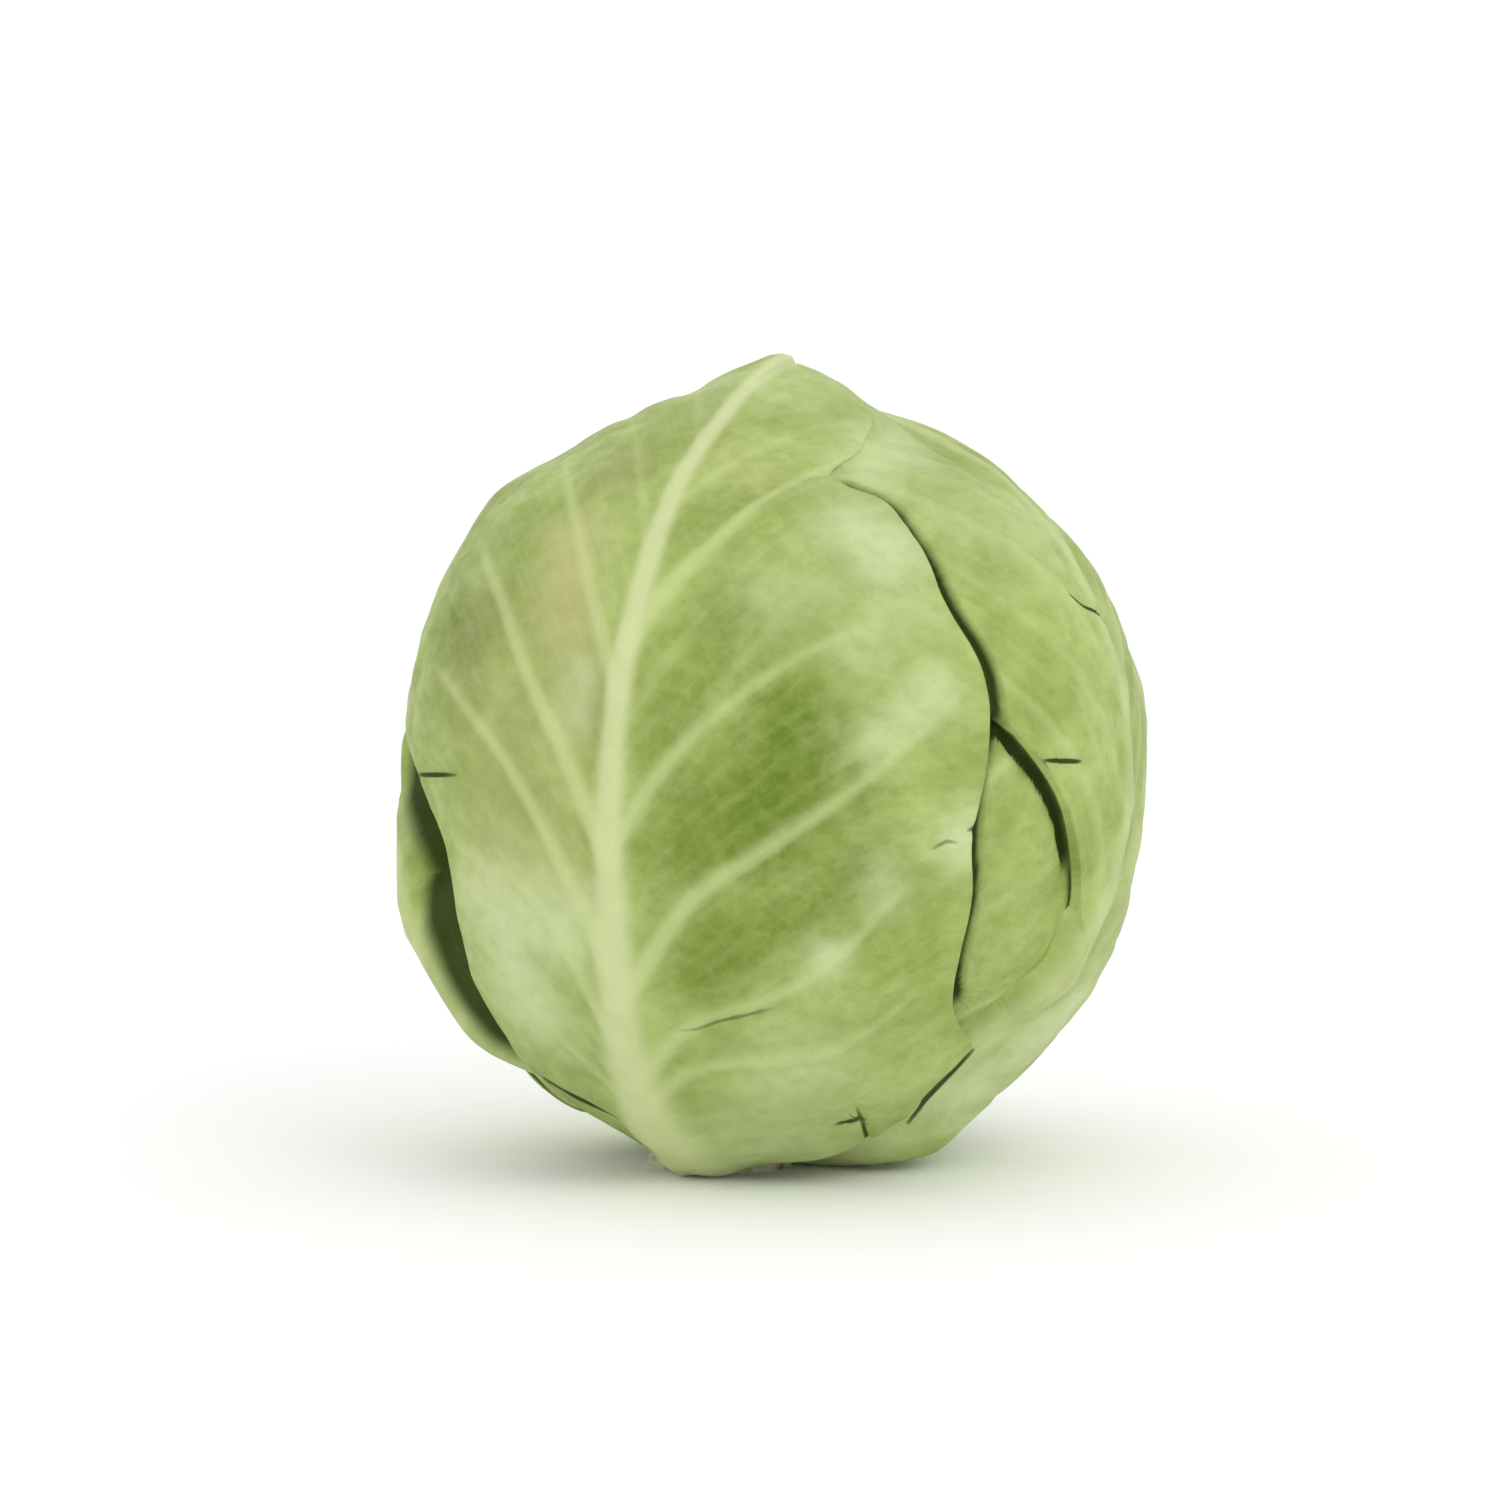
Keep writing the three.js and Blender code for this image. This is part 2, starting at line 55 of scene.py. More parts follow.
# Slow waves over the head: how fast each turns along x, y and z, and where it starts.
LUMPS = 0.006
LUMP_TURNS = dict(x=3.1, y=2.7, z=4.3, z_by_x=2)
LUMP_STARTS = dict(x=1.2, y=0.4, z=0.5)
# Single swells and dents: degrees round from the front to the right, degrees up, reach and height in mm.
SWELLS = [
    (-90, 79, 15, -2.8), (90, 63, 14, 3.3), (-90, 45, 9, 1.5), (-90, -21, 13, 4), (-90, -70, 12, -4),
    (-50, -64, 9, -2.6), (62, -69, 11, 3.8), (90, -54, 10, -1.8), (-90, 15, 10, -1.6), (90, 23, 10, -1.2),
    (90, -14, 9, -1.4), (90, 9, 8, 1), (88, 43, 11, -2.2), (-34, -63, 10, -0.8), (-58, -56, 9, -1.6),
    (60, -52, 8, -1.6),
]
# Lengths over the head are measured on a ball of this radius.
BALL = 80

# The underside is pressed flat on the table, and hollowed round the stalk.
UNDERSIDE_HEIGHT = 0.9
UNDERSIDE_SHARPNESS = 20
STALK_HOLLOW_DEPTH = 4.5
STALK_HOLLOW_ANGLE = 18
FLOOR_CLEARANCE = 0.3
# The least fall of a direction that can meet the floor, for each mm along it.
LEAST_FALL = 0.01

# ---- the stalk ----
STALK_FOOT = np.array([-10, -5, -CENTRE[2]])
STALK_LINE = STALK_FOOT / np.linalg.norm(STALK_FOOT)
STALK_HALF_ANGLE = 10.5
STALK_TOP_REACH = 36
STALK_TOP_SHARE = 0.7
STALK_SIDES = 96
# Its cut face has rings from a share of its width to the rim, and its side has rings between two reaches.
STALK_CUT_RINGS = 14
STALK_CUT_START = 0.06
STALK_SIDE_RINGS = 16
STALK_SIDE_START = 80
STALK_SIDE_END = 1.04 * STALK_TOP_REACH
STALK_PINCH = 0.1
STALK_FLUTE_HEIGHT = 0.4
STALK_FLUTE_SIZE = 3
STALK_FLUTE_SEED = 90
# Where the cut face's ring of veins lies, as a share of its width, and where its browned rim starts.
STALK_VEINS_PLACE = 0.68
STALK_VEINS_WIDTH = 0.1
STALK_RIM_START = 0.8
# How much of both tones the side has.
STALK_SIDE_VEINS = 0.3
STALK_SIDE_RIM = 0.4

# ---- the heart ----
HEART_SOCKET_ANGLE = 11.2
HEART_SOCKET_CLEARANCE = 1
HEART_SOCKET_TOP_SHARE = 0.7
HEART_SIDES = 200
HEART_RINGS = 110
HEART_LEAF_STEP = 1.4
HEART_STEP_SOFTNESS = 5
HEART_RIB_SHARE = 0.35
HEART_LEAVES = 4
HEART_FIRST_TIP = 140
HEART_TIP_STEP = 6

# ---- wrapper leaves, as in the solids ----
FRONT_AZIMUTH = -22
LEAF_TURN = 137.5
LEAF_START = 12
LAYER_DEPTH = 2.1
TUCK_MARGIN = 2
TUCK_SOFTNESS = 15
PRESSED_RIB_SHARE = 0.25

# A side vein's climb, in degrees along for each degree of offset, grows with its rise: from, to and gain.
VEIN_SLOPE_AT_STALK = 0.1
VEIN_SLOPE_GAINS = [(10, 30, 0.25), (30, 105, 1.3)]

MIDRIB_BASE_HEIGHT = 5.2
MIDRIB_TIP_HEIGHT = 0.9
MIDRIB_FADE = 45
MIDRIB_BASE_HALF_ANGLE = 6.5
MIDRIB_TIP_HALF_ANGLE = 1.7
MIDRIB_NARROWING = 44
MIDRIB_ROUNDNESS = 2.2

# The margin waves in and out, and its flare goes up and down. Turns are in radians for each degree of rise.
MARGIN_WAVE_TURN = 0.21
MARGIN_WAVE_SHIFT = 1.7
MARGIN_RIPPLE = 0.6
MARGIN_RIPPLE_TURN = 0.47
MARGIN_WAVE_START = 30
MARGIN_WAVE_END = 25
FLARE_LEAST = 0.1
FLARE_TURN = 0.16
FLARE_SHIFT = 2.1
FLARE_POWER = 6
# Rises between which the margins come to lie flat on the crown.
CROWN_START = 95
CROWN_END = 150
# A margin that turns in or out fast lies flat. In degrees over two degrees of rise: where that starts, and
# where it is wholly flat.
TURN_START = 3
TURN_END = 10

# How a direction's rise is found: a first guess of the slope, then steps that close in on it.
SEARCH_SLOPE = 0.6
SEARCH_STEPS = 24
SEARCH_EASE = 1.9

# ---- fine relief, in mm ----
BLADE_THICKNESS = 0.85
MARGIN_THICKNESS = 0.5
THINNING_POWER = 3
VEIN_HEIGHT = 1.4
VEIN_BASE_HALF_WIDTH = 3.0
VEIN_END_HALF_WIDTH = 1.7
# A vein loses this share of its height on its way out, and fades from here to its end.
VEIN_FADE = 0.45
VEIN_END_START = 0.8
# A side vein comes out of the midrib, and is whole where the midrib is down to this share of its height.
VEIN_ROOT_SHARE = 0.3
WEAK_VEIN_WIDTH = 0.55
WEAK_VEIN_CLEARANCE = 4
VEIN_STEPS = 14
BLADE_PUFF = 1.1
PUFF_REACH = 8
# Shares of the way to the margin from which the blade is fully puffed, and from which it flattens again.
PUFF_START = 0.15
PUFF_END = 0.7
CRINKLE = 0.32
CRINKLE_SIZE = 9
CRINKLE_SEED = 20
FINE_CRINKLE_SHARE = 0.5
FINE_CRINKLE_TURNS = 2.2

# Side veins that aren't listed one by one: each strays a little, and has a fork half way out.
EVEN_VEIN_POINTS = 6
EVEN_VEIN_LENGTH = 0.96
EVEN_VEIN_STRENGTHS = [0.65, 0.9]
VEIN_WANDER = 1.2
VEIN_WANDER_STEP = 0.6
VEIN_WANDER_SHIFT = 3.3
VEIN_ROOT_DROP = 2.5
LOW_VEINS_END = 30
FORK_START = 0.45
FORK_STEP = 0.18
FORK_SPREAD = 3
FORK_SHAPE = np.array([0, 0.5, 1, 1.6])
FORK_STRENGTH = 0.4

# A gap's floor reaches in under the margin, and it grows shallow over this share of its length at both ends.
GAP_UNDERCUT = 4
GAP_END_SHARE = 0.1
MARGIN_LINE_STEPS = 30
# A pressed margin lies on the leaf beneath it, and is let go over so many degrees of rise.
PRESSED_MARGIN_SINK = 0.15
PRESSED_END = 3
# A tear is a groove in a wider valley, with a painted shade line along it.
# Its width and depth taper to a share of the whole at its ends.
TEAR_VALLEY = 1.1
TEAR_END_SHARE = 0.35
TEAR_ROUND_END = 0.02
TEAR_SOFT_END = 0.04
# In half widths of the tear: where its painted shade starts to fade, where it is gone, and the most that is
# kept.
TEAR_FADE_START = 4
TEAR_FADE_END = 8
TEAR_FAR = 9

# The sheet's rows lie closer where a margin turns, and its columns closer at the midrib and the margin.
ROWS_AT_TURNS = 0.6
ROW_SAMPLES = 1500
STEEPEST_TURN = 12
RIB_COLUMNS = 8
RIB_FOOT = 1.8
RIB_MOST_SHARE = 0.4
MARGIN_CROWDING = 1.12


# ---- what is listed for a leaf ----
def side_vein(side, end, strength, rises, start=0):
    """A side vein between two offsets, with its rises at equal steps outward."""
    return dict(side=side, start=start, end=end, strength=strength, rises=rises)


def open_gap(side, start, end, depth, floor, wall):
    """A gap beside a margin between two rises, with its floor's and its far wall's widths at equal steps."""
    return dict(side=side, start=start, end=end, depth=depth, floor=floor, wall=wall)


def shaded_groove(half_width, depth, shade_strength, *line):
    """A groove through (rise, offset) places with a painted shade line along it: a tear, a crease, or a
    painted shadow line.
    """
    return dict(half_width=half_width, depth=depth, shade_strength=shade_strength, line=line)


def patch(strength, reach, *line):
    """A soft patch of colour, so many mm round a line through (rise, offset) places."""
    return dict(strength=strength, reach=reach, line=line)


# Half widths, in degrees of offset, at equal steps of rise from the stalk to the tip.
PLAIN_SIDE = [24, 40, 50, 54, 54, 51, 46, 40, 32, 22, 8]

# Outermost first: each grows one LEAF_TURN on from the one outside it. A bite takes a share of one side's
# width away between two rises, with a soft end each. The midrib's sway is its aside at equal steps along. The
# flare of the margin and the lift of the blade, in mm, show where nothing lies over the leaf. A pressed
# stretch of margin lies on the leaf of another index.
WRAPPERS = [
    dict(
        name="leaf_front", tip=176,
        left=[9, 27, 46, 62, 65, 60, 52, 43, 33, 22, 8],
        right=[45.5, 48, 54.5, 55.4, 42, 30, 20.6, 19.5, 16.5, 12, 6.5],
        bites=[
            dict(side=-1, start=36, end=49.5, start_soft=12, end_soft=2, share=0.31),
            dict(side=1, start=-20, end=14.3, start_soft=1, end_soft=2.5, share=0.3),
        ],
        sway=[1.5, 1, -0.6, -0.9, -2.1, -2.3, -2.4, -3.5, -2.4, -2],
        veins=[22, 32, 42, 53, 63, 78, 100, 122, 145],
        flare=1.2, lift=0, wave=0.3, rows=270, columns=86,
        pressed=[dict(side=1, start=112, end=180, width=14, onto=2)],
        side_veins=[
            side_vein(-1, 27, 0.45, [20, 21, 23, 25, 25, 26]),
            side_vein(-1, 31, 0.6, [33, 36, 39, 42, 43, 42]),
            side_vein(-1, 38, 0.85, [45, 53, 56, 53, 51, 50]),
            side_vein(-1, 48, 1.0, [57, 65, 67, 66, 65, 62]),
            side_vein(-1, 40, 1.0, [74, 78, 79, 80, 80, 81]),
            side_vein(-1, 45, 0.3, [66, 69, 71, 72, 72], 15),
            side_vein(-1, 32, 0.8, [98, 100, 102, 104, 105]),
            side_vein(-1, 24, 0.5, [118, 125, 126, 127]),
            side_vein(-1, 18, 0.4, [143, 146, 147]),
            side_vein(1, 39, 0.45, [26, 24, 21, 19, 19, 21]),
            side_vein(1, 48, 0.8, [34, 37, 34, 30, 31, 35]),
            side_vein(1, 50, 0.9, [38, 44, 43, 43, 46, 49]),
            side_vein(1, 53, 0.35, [43, 47, 50, 53, 56], 19),
            side_vein(1, 53, 1.0, [52, 59, 59, 59, 61, 66]),
            side_vein(1, 40, 0.85, [75, 78, 78, 77, 76, 74]),
            side_vein(1, 39, 0.35, [79, 85, 87, 88], 13),
            side_vein(1, 27, 0.35, [89, 95, 98, 98]),
            side_vein(1, 22, 1.0, [105, 108, 109, 111, 115, 123]),
            side_vein(1, 22, 0.5, [126, 130, 135, 141]),
        ],
        gaps=[
            open_gap(1, 56, 115, 2.2, [4.6, 5, 4.6, 4.4, 4.4, 4.6], [1.2, 1.0]),
            open_gap(1, 19, 60, 1.3, [3.4, 4.4, 5.0, 5.1, 4.2, 3.8], [1.4, 1.2]),
            open_gap(-1, 12, 58, 5.0, [5, 9, 13, 17, 19.5, 18.5, 16, 12.5, 7], [2.5, 4, 4.5, 4, 3]),
        ],
        # Tears and creases: each is a groove with a painted shade line in it.
        shaded_grooves=[
            shaded_groove(0.6, 0.7, 0.5, (44, 8), (43, 11), (43, 14), (42, 19), (41, 23)),
            shaded_groove(0.6, 1.0, 0.75, (18.3, 23.2), (17.4, 25.3), (15.8, 27.5)),
            shaded_groove(0.5, 1.0, 0.7, (19.5, 27.6), (16, 26.7), (11, 25.2), (6.5, 24.2)),
            shaded_groove(0.5, 0.6, 0.5, (49.3, 48), (49.4, 51), (48.6, 53)),
            shaded_groove(0.5, 0.7, 0.6, (49.5, 54.2), (49.6, 56)),
            shaded_groove(0.6, 0.8, 0.8, (50.5, -47), (51.9, -43.8), (54.4, -38.5), (56.7, -33.9), (58.6, -30.3)),
            # A painted shadow band under the blade's lower left edge, in a wide groove.
            shaded_groove(2.0, 0.8, 0.85, (22.2, -20.5), (23.2, -14.3), (24.6, -9), (25.4, -5.5)),
        ],
        deep=[
            patch(1.0, 15, (69, 26), (61, 23)), patch(0.6, 8, (80, 10), (90, 14)),
            patch(0.85, 10, (65, 12), (66, 16)), patch(0.8, 9, (60, 36)),
            patch(0.8, 10, (51, 14), (51, 36)), patch(0.4, 6, (118, 4), (116, 10)),
            patch(0.5, 9, (122, -9)), patch(1.0, 11, (73, -29), (71, -36)),
            patch(0.35, 6, (76, -17), (66, -17)), patch(0.5, 4, (87, -4), (94, -5)),
        ],
        # Pale patches: partly the blade's paler tone, partly painted light, namely highlights and a lighter
        # base near the floor.
        pale_and_highlight=[
            patch(0.8, 11, (91, 28), (85, 33)), patch(0.35, 8, (78, 37), (73, 33)),
            patch(0.6, 6, (63, 39), (66, 46)), patch(0.7, 7, (49, 53)), patch(0.5, 6, (48, 40)),
            patch(0.7, 5, (44, 31)), patch(0.8, 11, (41, -16), (50, -21), (55, -9)),
            patch(0.6, 5, (92, -6), (84, -7)), patch(0.3, 8, (87, 20), (84, 26)),
            patch(0.2, 12, (153, -3), (147, 8)), patch(0.6, 8, (114, 23), (123, 21), (130, 21)),
            patch(0.45, 14, (14, 5), (20, 15), (28, 22)),
        ],
        blush=[
            patch(0.75, 9, (99, -14), (92, -10)), patch(0.4, 8, (92, -7), (76, -9), (64, -9)),
            patch(0.35, 14, (60, -20), (75, -19), (73, -30)), patch(0.4, 9, (118, -11)),
            patch(0.2, 8, (139, 3), (119, 11)),
        ],
    ),
    dict(
        name="leaf_back_left", tip=169,
        left=[24, 42, 52, 57, 57, 53, 45, 33, 22, 14, 6],
        right=[24, 38, 48, 54, 56, 54, 50, 44, 36, 27, 12],
        sway=[0, 3, 4, 2],
        veins=[21, 31, 42, 53, 65, 78, 92, 109, 131],
        flare=1.6, lift=0.6,
    ),
    dict(
        name="leaf_right", tip=173,
        left=[20, 30, 36, 28, 40, 47, 47, 40, 32, 22, 8],
        right=[26, 44, 50, 52, 52, 50, 46, 40, 32, 22, 8],
        bites=[dict(side=-1, start=20, end=70.2, start_soft=8, end_soft=1.4, share=0.84)],
        sway=[0, -3, -6.5, -1.5, 4, 1.5, 0, 0, 0],
        veins=[21, 31, 41, 52, 63, 76, 90, 107, 130],
        flare=1.8, lift=0.6, wave=0.6, vein_show=0.3, rib_show=0.4, rows=260, columns=84,
        pressed=[dict(side=-1, start=16, end=70.6, width=6, onto=5)],
        gaps=[open_gap(-1, 69.3, 79, 1.6, [0.8, 1.4], [1, 1.4])],
        # Slits with painted shade in them, and a painted shadow line beside the front leaf's lower edge.
        shaded_grooves=[
            shaded_groove(0.6, 1.0, 0.9, (109.7, -7.4), (112.3, 3.4)),
            shaded_groove(0.6, 1.0, 0.9, (71.2, -22.6), (77.9, -14.4)),
            shaded_groove(
                1.0, 0.8, 0.9,
                (48.4, -0.2), (46.5, 0), (44.5, 0.1), (42.5, 0.2),
                (40, 0.2), (37, 0.3), (34.5, 0.8), (31, 1.2),
            ),
        ],
        deep=[patch(0.35, 9, (100, 6), (76, 3))],
        # Pale patches: partly the blade's paler tone, partly painted light, namely highlights and a lighter
        # base near the floor.
        pale_and_highlight=[
            patch(0.85, 9, (38, 8), (45, 11), (52, 11)), patch(0.3, 14, (110, -18), (122, -8)),
            patch(0.6, 9, (115, -24), (131, -15), (138, -12)),
            patch(0.15, 13, (96, 12), (78, 15), (60, 15)),
        ],
    ),
    dict(
        name="leaf_left", tip=164,
        right=[22, 34, 44, 50, 52, 50, 46, 40, 32, 22, 8],
        sway=[0, -6, -8, -4, 0],
        veins=[22, 33, 45, 57, 70, 84, 101, 124],
        flare=2.2, lift=1, rib_show=0.4,
    ),
    dict(
        name="leaf_back_right", tip=166,
        sway=[0, 2, 0, -2],
        veins=[23, 36, 49, 63, 79, 97, 120],
        flare=1.5, lift=0.6,
    ),
    dict(
        name="leaf_front_under", tip=160,
        sway=[0, 0, 2, 0],
        veins=[24, 38, 52, 68, 87, 110],
        flare=0.8, lift=0, rows=260, columns=84,
        deep=[patch(0.12, 12, (50, 40), (52, 30), (40, 28))],
    ),
]
LEAF_DEFAULTS = dict(
    left=PLAIN_SIDE, right=PLAIN_SIDE, bites=[], sway=[0, 0], wave=0.9, rows=200, columns=66, side_veins=[],
    gaps=[], pressed=[], shaded_grooves=[], deep=[], pale_and_highlight=[], blush=[], vein_show=0.6, rib_show=0.8,
)

# ---- the leaves' look: scales are for each mm, and sizes in mm ----
TEXTURE_MM_PER_DEGREE = 1.42
# Each leaf takes its pattern from another place, this far on.
TEXTURE_STEP = 60.0
GRAIN_STRETCH = 0.12
PATCH_EDGE_SIZE = 11
PATCH_EDGE = 0.4
PATCH_FINE_SHARE = 0.3
PATCH_FINE_TURNS = 2.3
PATCH_SEED = 70
COARSE_NET_SIZE = 8.0
FINE_NET_SIZE = 2.8
NET_LINE = 0.11
NET_BEND = (7.0, 7.0, 0.0)
NET_BEND_SCALE = 0.09
TONE_SCALE = 0.04
MOTTLE_SCALE = 0.22
STREAK_SCALE = 0.5
GLOSS_SCALE = 0.12
PORE_SCALE = 1.2
# The values of a pattern, or of a rib's or a shade's attribute, between which its tone comes in.
TONE_RANGE = (0.35, 0.65)
MOTTLE_RANGE = (0.35, 0.68)
STREAK_RANGE = (0.4, 0.7)
GLOSS_RANGE = (0.3, 0.7)
VEIN_RANGE = (0.05, 0.95)
RIB_RANGE = (0.1, 1.0)
SHADE_RANGE = (0.12, 0.8)
# In half widths of a tear: where its painted shade line starts to fade, and where it ends.
GROOVE_SHADE_RANGE = (0.5, 1.4)
# How strongly each tone is mixed in. A patch's goes from the one between the mottles to the one on them.
DEEP_SHARES = (0.8, 1.0)
PALE_AND_HIGHLIGHT_SHARES = (1.0, 0.85)
MOTTLE_SHARE = 0.25
BLUSH_SHARE = 0.8
STREAK_SHARE = 0.08
COARSE_NET_SHARE = 0.04
FINE_NET_SHARE = 0.02
SHADE_SHARE = 0.94
WAX_ROUGHNESS = (0.4, 0.58)
SHADE_ROUGHNESS = 0.4
# The nets' heights beside the pores', and the strength and the height in metres of the whole bump.
COARSE_NET_HEIGHT = 0.3
FINE_NET_HEIGHT = 0.15
LEAF_BUMP = (0.35, 0.0005)
LEAF_SURFACE = {"Specular IOR Level": 0.24, "IOR": 1.4}

# ---- the heart's and the stalk's look ----
HEART_TONE_SCALE = 0.06
HEART_NET_SIZE = 7.0
HEART_NET_SHARE = 0.25
HEART_BUMP = (0.3, 0.0004)
HEART_SURFACE = {"Specular IOR Level": 0.4, "Sheen Weight": 0.15}
STALK_RING_SCALE = 0.8
STALK_RING_RANGE = (0.35, 0.6)
STALK_BROWN_SCALE = 0.25
STALK_BROWN_RANGE = (0.45, 0.75)
STALK_BROWN_LEAST = 0.1
STALK_GLOSS_SCALE = 0.5
STALK_ROUGHNESS = (0.6, 0.8)
STALK_BUMP_SCALE = 1.6
STALK_BUMP = (0.5, 0.0006)

# ---- studio and camera, in metres ----
FLOOR_HALF_SIZE = 12.0
FLOOR_TONE_SCALE = 3.0
FLOOR_ROUGHNESS = 0.9
WORLD_STRENGTH = 1.04
KEY_PLACE = (0.75, -1.1, 1.1)
KEY_SIZE = 0.9
KEY_POWER = 4.0
CAMERA_AIM = Vector((-0.0048, -0.0005, 0.0883))
CAMERA_DISTANCE = 0.9
CAMERA_ELEVATION = 4
CAMERA_VIEW_ANGLE = 20.3


# ---- small maths ----
# Each cell of a noise has a value hashed from its place and its seed with these large numbers.
CELL_HASH = np.array([73856093, 19349663, 83492791])
SEED_HASH = 7919
FIRST_HASH = 1274126177
SECOND_HASH = 668265263
LARGEST_HASH = 0x7FFFFFFF


def smooth(start, end, x):
    """0 up to the start and 1 from the end on, with a soft step between them."""
    t = np.clip((x - start) / (end - start), 0, 1)
    return t * t * (3 - 2 * t)


def through(values, share):
    """A curve through equally spaced values, read at a share from 0 to 1 of its length."""
    first, last = 2 * values[0] - values[1], 2 * values[-1] - values[-2]
    v = np.array([first, *values, last], float)
    x = np.clip(share, 0, 1) * (len(values) - 1)
    i = np.minimum(np.floor(x).astype(int), len(values) - 2)
    f = x - i
    a, b, c, d = v[i], v[i + 1], v[i + 2], v[i + 3]
    return b + 0.5 * f * (c - a + f * (2 * a - 5 * b + 4 * c - d + f * (3 * (b - c) + d - a)))


def noise(x, y, z, seed):
    """Smooth random values from -1 to 1, with one cell a unit."""
    points = np.stack(np.broadcast_arrays(x, y, z), axis=-1).astype(float)
    cell = np.floor(points).astype(np.int64)
    f = smooth(0, 1, points - cell)
    total = np.zeros(points.shape[:-1])
    for corner in itertools.product((0, 1), repeat=3):
        key = (cell + corner) @ CELL_HASH + seed * SEED_HASH
        key = (key ^ (key >> 13)) * FIRST_HASH & LARGEST_HASH
        key = (key ^ (key >> 15)) * SECOND_HASH & LARGEST_HASH
        weight = np.prod(np.where(np.array(corner) == 1, f, 1 - f), axis=-1)
        total += weight * (key / (LARGEST_HASH // 2) - 1)
    return total


def noise_at(points, size, seed):
    """Noise at points in mm, with cells of a size."""
    return noise(*np.moveaxis(points, -1, 0) / size, seed)


def unit(v):
    return v / np.linalg.norm(v)


def angle_from(d, line):
    return np.degrees(np.arccos(np.clip(d @ line, -1, 1)))


def from_front(azimuth, height):
    """The direction so many degrees round from the front to the right, and so many up."""
    a, h = azimuth * RADIANS, height * RADIANS
    return np.array([math.sin(a) * math.cos(h), -math.cos(a) * math.cos(h), math.sin(h)])


def to_line(points, line):
    """Each point's distance from a line, its place along it from 0 to 1, and the line's nearest point."""
    if len(line) == 1:
        line = np.repeat(line, 2, 0)
    lengths = np.maximum(1e-6, np.linalg.norm(np.diff(line, axis=0), axis=1))
    starts = np.concatenate([[0], np.cumsum(lengths)])
    best = np.full(points.shape[:-1], np.inf)
    place, nearest = np.zeros_like(best), np.zeros_like(points)
    for a, b, length, start in zip(line[:-1], line[1:], lengths, starts):
        t = np.clip((points - a) @ (b - a) / length**2, 0, 1)
        close = a + t[..., None] * (b - a)
        away = np.linalg.norm(points - close, axis=-1)
        nearer = away < best
        best = np.where(nearer, away, best)
        place = np.where(nearer, (start + t * length) / starts[-1], place)
        nearest = np.where(nearer[..., None], close, nearest)
    return best, place, nearest


# ---- the head's outer form ----
def head_reach(d):
    x, y, z = np.moveaxis(d, -1, 0)
    lumps = np.sin(LUMP_TURNS["x"] * x + LUMP_STARTS["x"]) * np.sin(LUMP_TURNS["y"] * y + LUMP_STARTS["y"])
    lumps = lumps + np.sin(LUMP_TURNS["z"] * z + LUMP_TURNS["z_by_x"] * x + LUMP_STARTS["z"])
    from_top = np.arccos(np.clip(z, -1, 1)) / math.pi
    rounded = through(PROFILE, from_top) / np.sqrt(x**2 + (y / DEPTH_SHARE) ** 2 + z**2)
    plump = 1 + LEAN_RIGHT * x + LUMPS * lumps
    for azimuth, height, reach, swell in SWELLS:
        middle = from_front(azimuth, height)
        plump = plump + swell / BALL * np.exp(-((angle_from(d, middle) * RADIANS * BALL / reach) ** 2))
    hollow = STALK_HOLLOW_DEPTH * np.exp(-((angle_from(d, STALK_LINE) / STALK_HOLLOW_ANGLE) ** 2))
    sink = np.maximum(0, -z) / (CENTRE[2] - UNDERSIDE_HEIGHT - hollow)
    power = UNDERSIDE_SHARPNESS
    return ((rounded * plump) ** -power + sink**power) ** (-1 / power)


# ---- a leaf's coordinates ----
def place_leaf(leaf, index):
    azimuth = (FRONT_AZIMUTH - index * LEAF_TURN) * RADIANS
    ahead = np.array([math.sin(azimuth), -math.cos(azimuth), 0])
    ahead = unit(ahead - (ahead @ STALK_LINE) * STALK_LINE)
    return {**LEAF_DEFAULTS, **leaf, "index": index, "ahead": ahead, "aside": np.cross(ahead, STALK_LINE)}


def vein_slope(rise):
    slope = VEIN_SLOPE_AT_STALK
    for start, end, gain in VEIN_SLOPE_GAINS:
        slope = slope + gain * smooth(start, end, rise)
    return slope


def along_at(rise, offset):
    return rise + vein_slope(rise) * np.abs(offset)


def midrib_aside(leaf, along):
    return through(leaf["sway"], along / 180)


def direction_at(leaf, rise, offset):
    along = along_at(rise, offset)
    aside = (offset + midrib_aside(leaf, along)) * RADIANS
    along = along * RADIANS
    return (
        (np.cos(aside) * np.cos(along))[..., None] * STALK_LINE
        + (np.cos(aside) * np.sin(along))[..., None] * leaf["ahead"]
        + np.sin(aside)[..., None] * leaf["aside"]
    )


def on_ball(leaf, places):
    """Points on the ball from (rise, offset) places."""
    rise, offset = np.array(places, float).T
    return BALL * direction_at(leaf, rise, offset)


def leaf_place(leaf, d):
    """The other way round: where a direction is on a leaf. The rise is found by closing in on it."""
    along = np.degrees(np.arctan2(d @ leaf["ahead"], d @ STALK_LINE))
    along = np.where(along < -90, along + 360, along)
    offset = np.degrees(np.arcsin(np.clip(d @ leaf["aside"], -1, 1))) - midrib_aside(leaf, along)
    rise = along - SEARCH_SLOPE * np.abs(offset)
    for _ in range(SEARCH_STEPS):
        rise = rise + (along - along_at(rise, offset)) / SEARCH_EASE
    return along, offset, rise


def full_width(leaf, rise, offset):
    share = (rise - LEAF_START) / (leaf["tip"] - LEAF_START)
    return np.where(offset < 0, through(leaf["left"], share), through(leaf["right"], share))


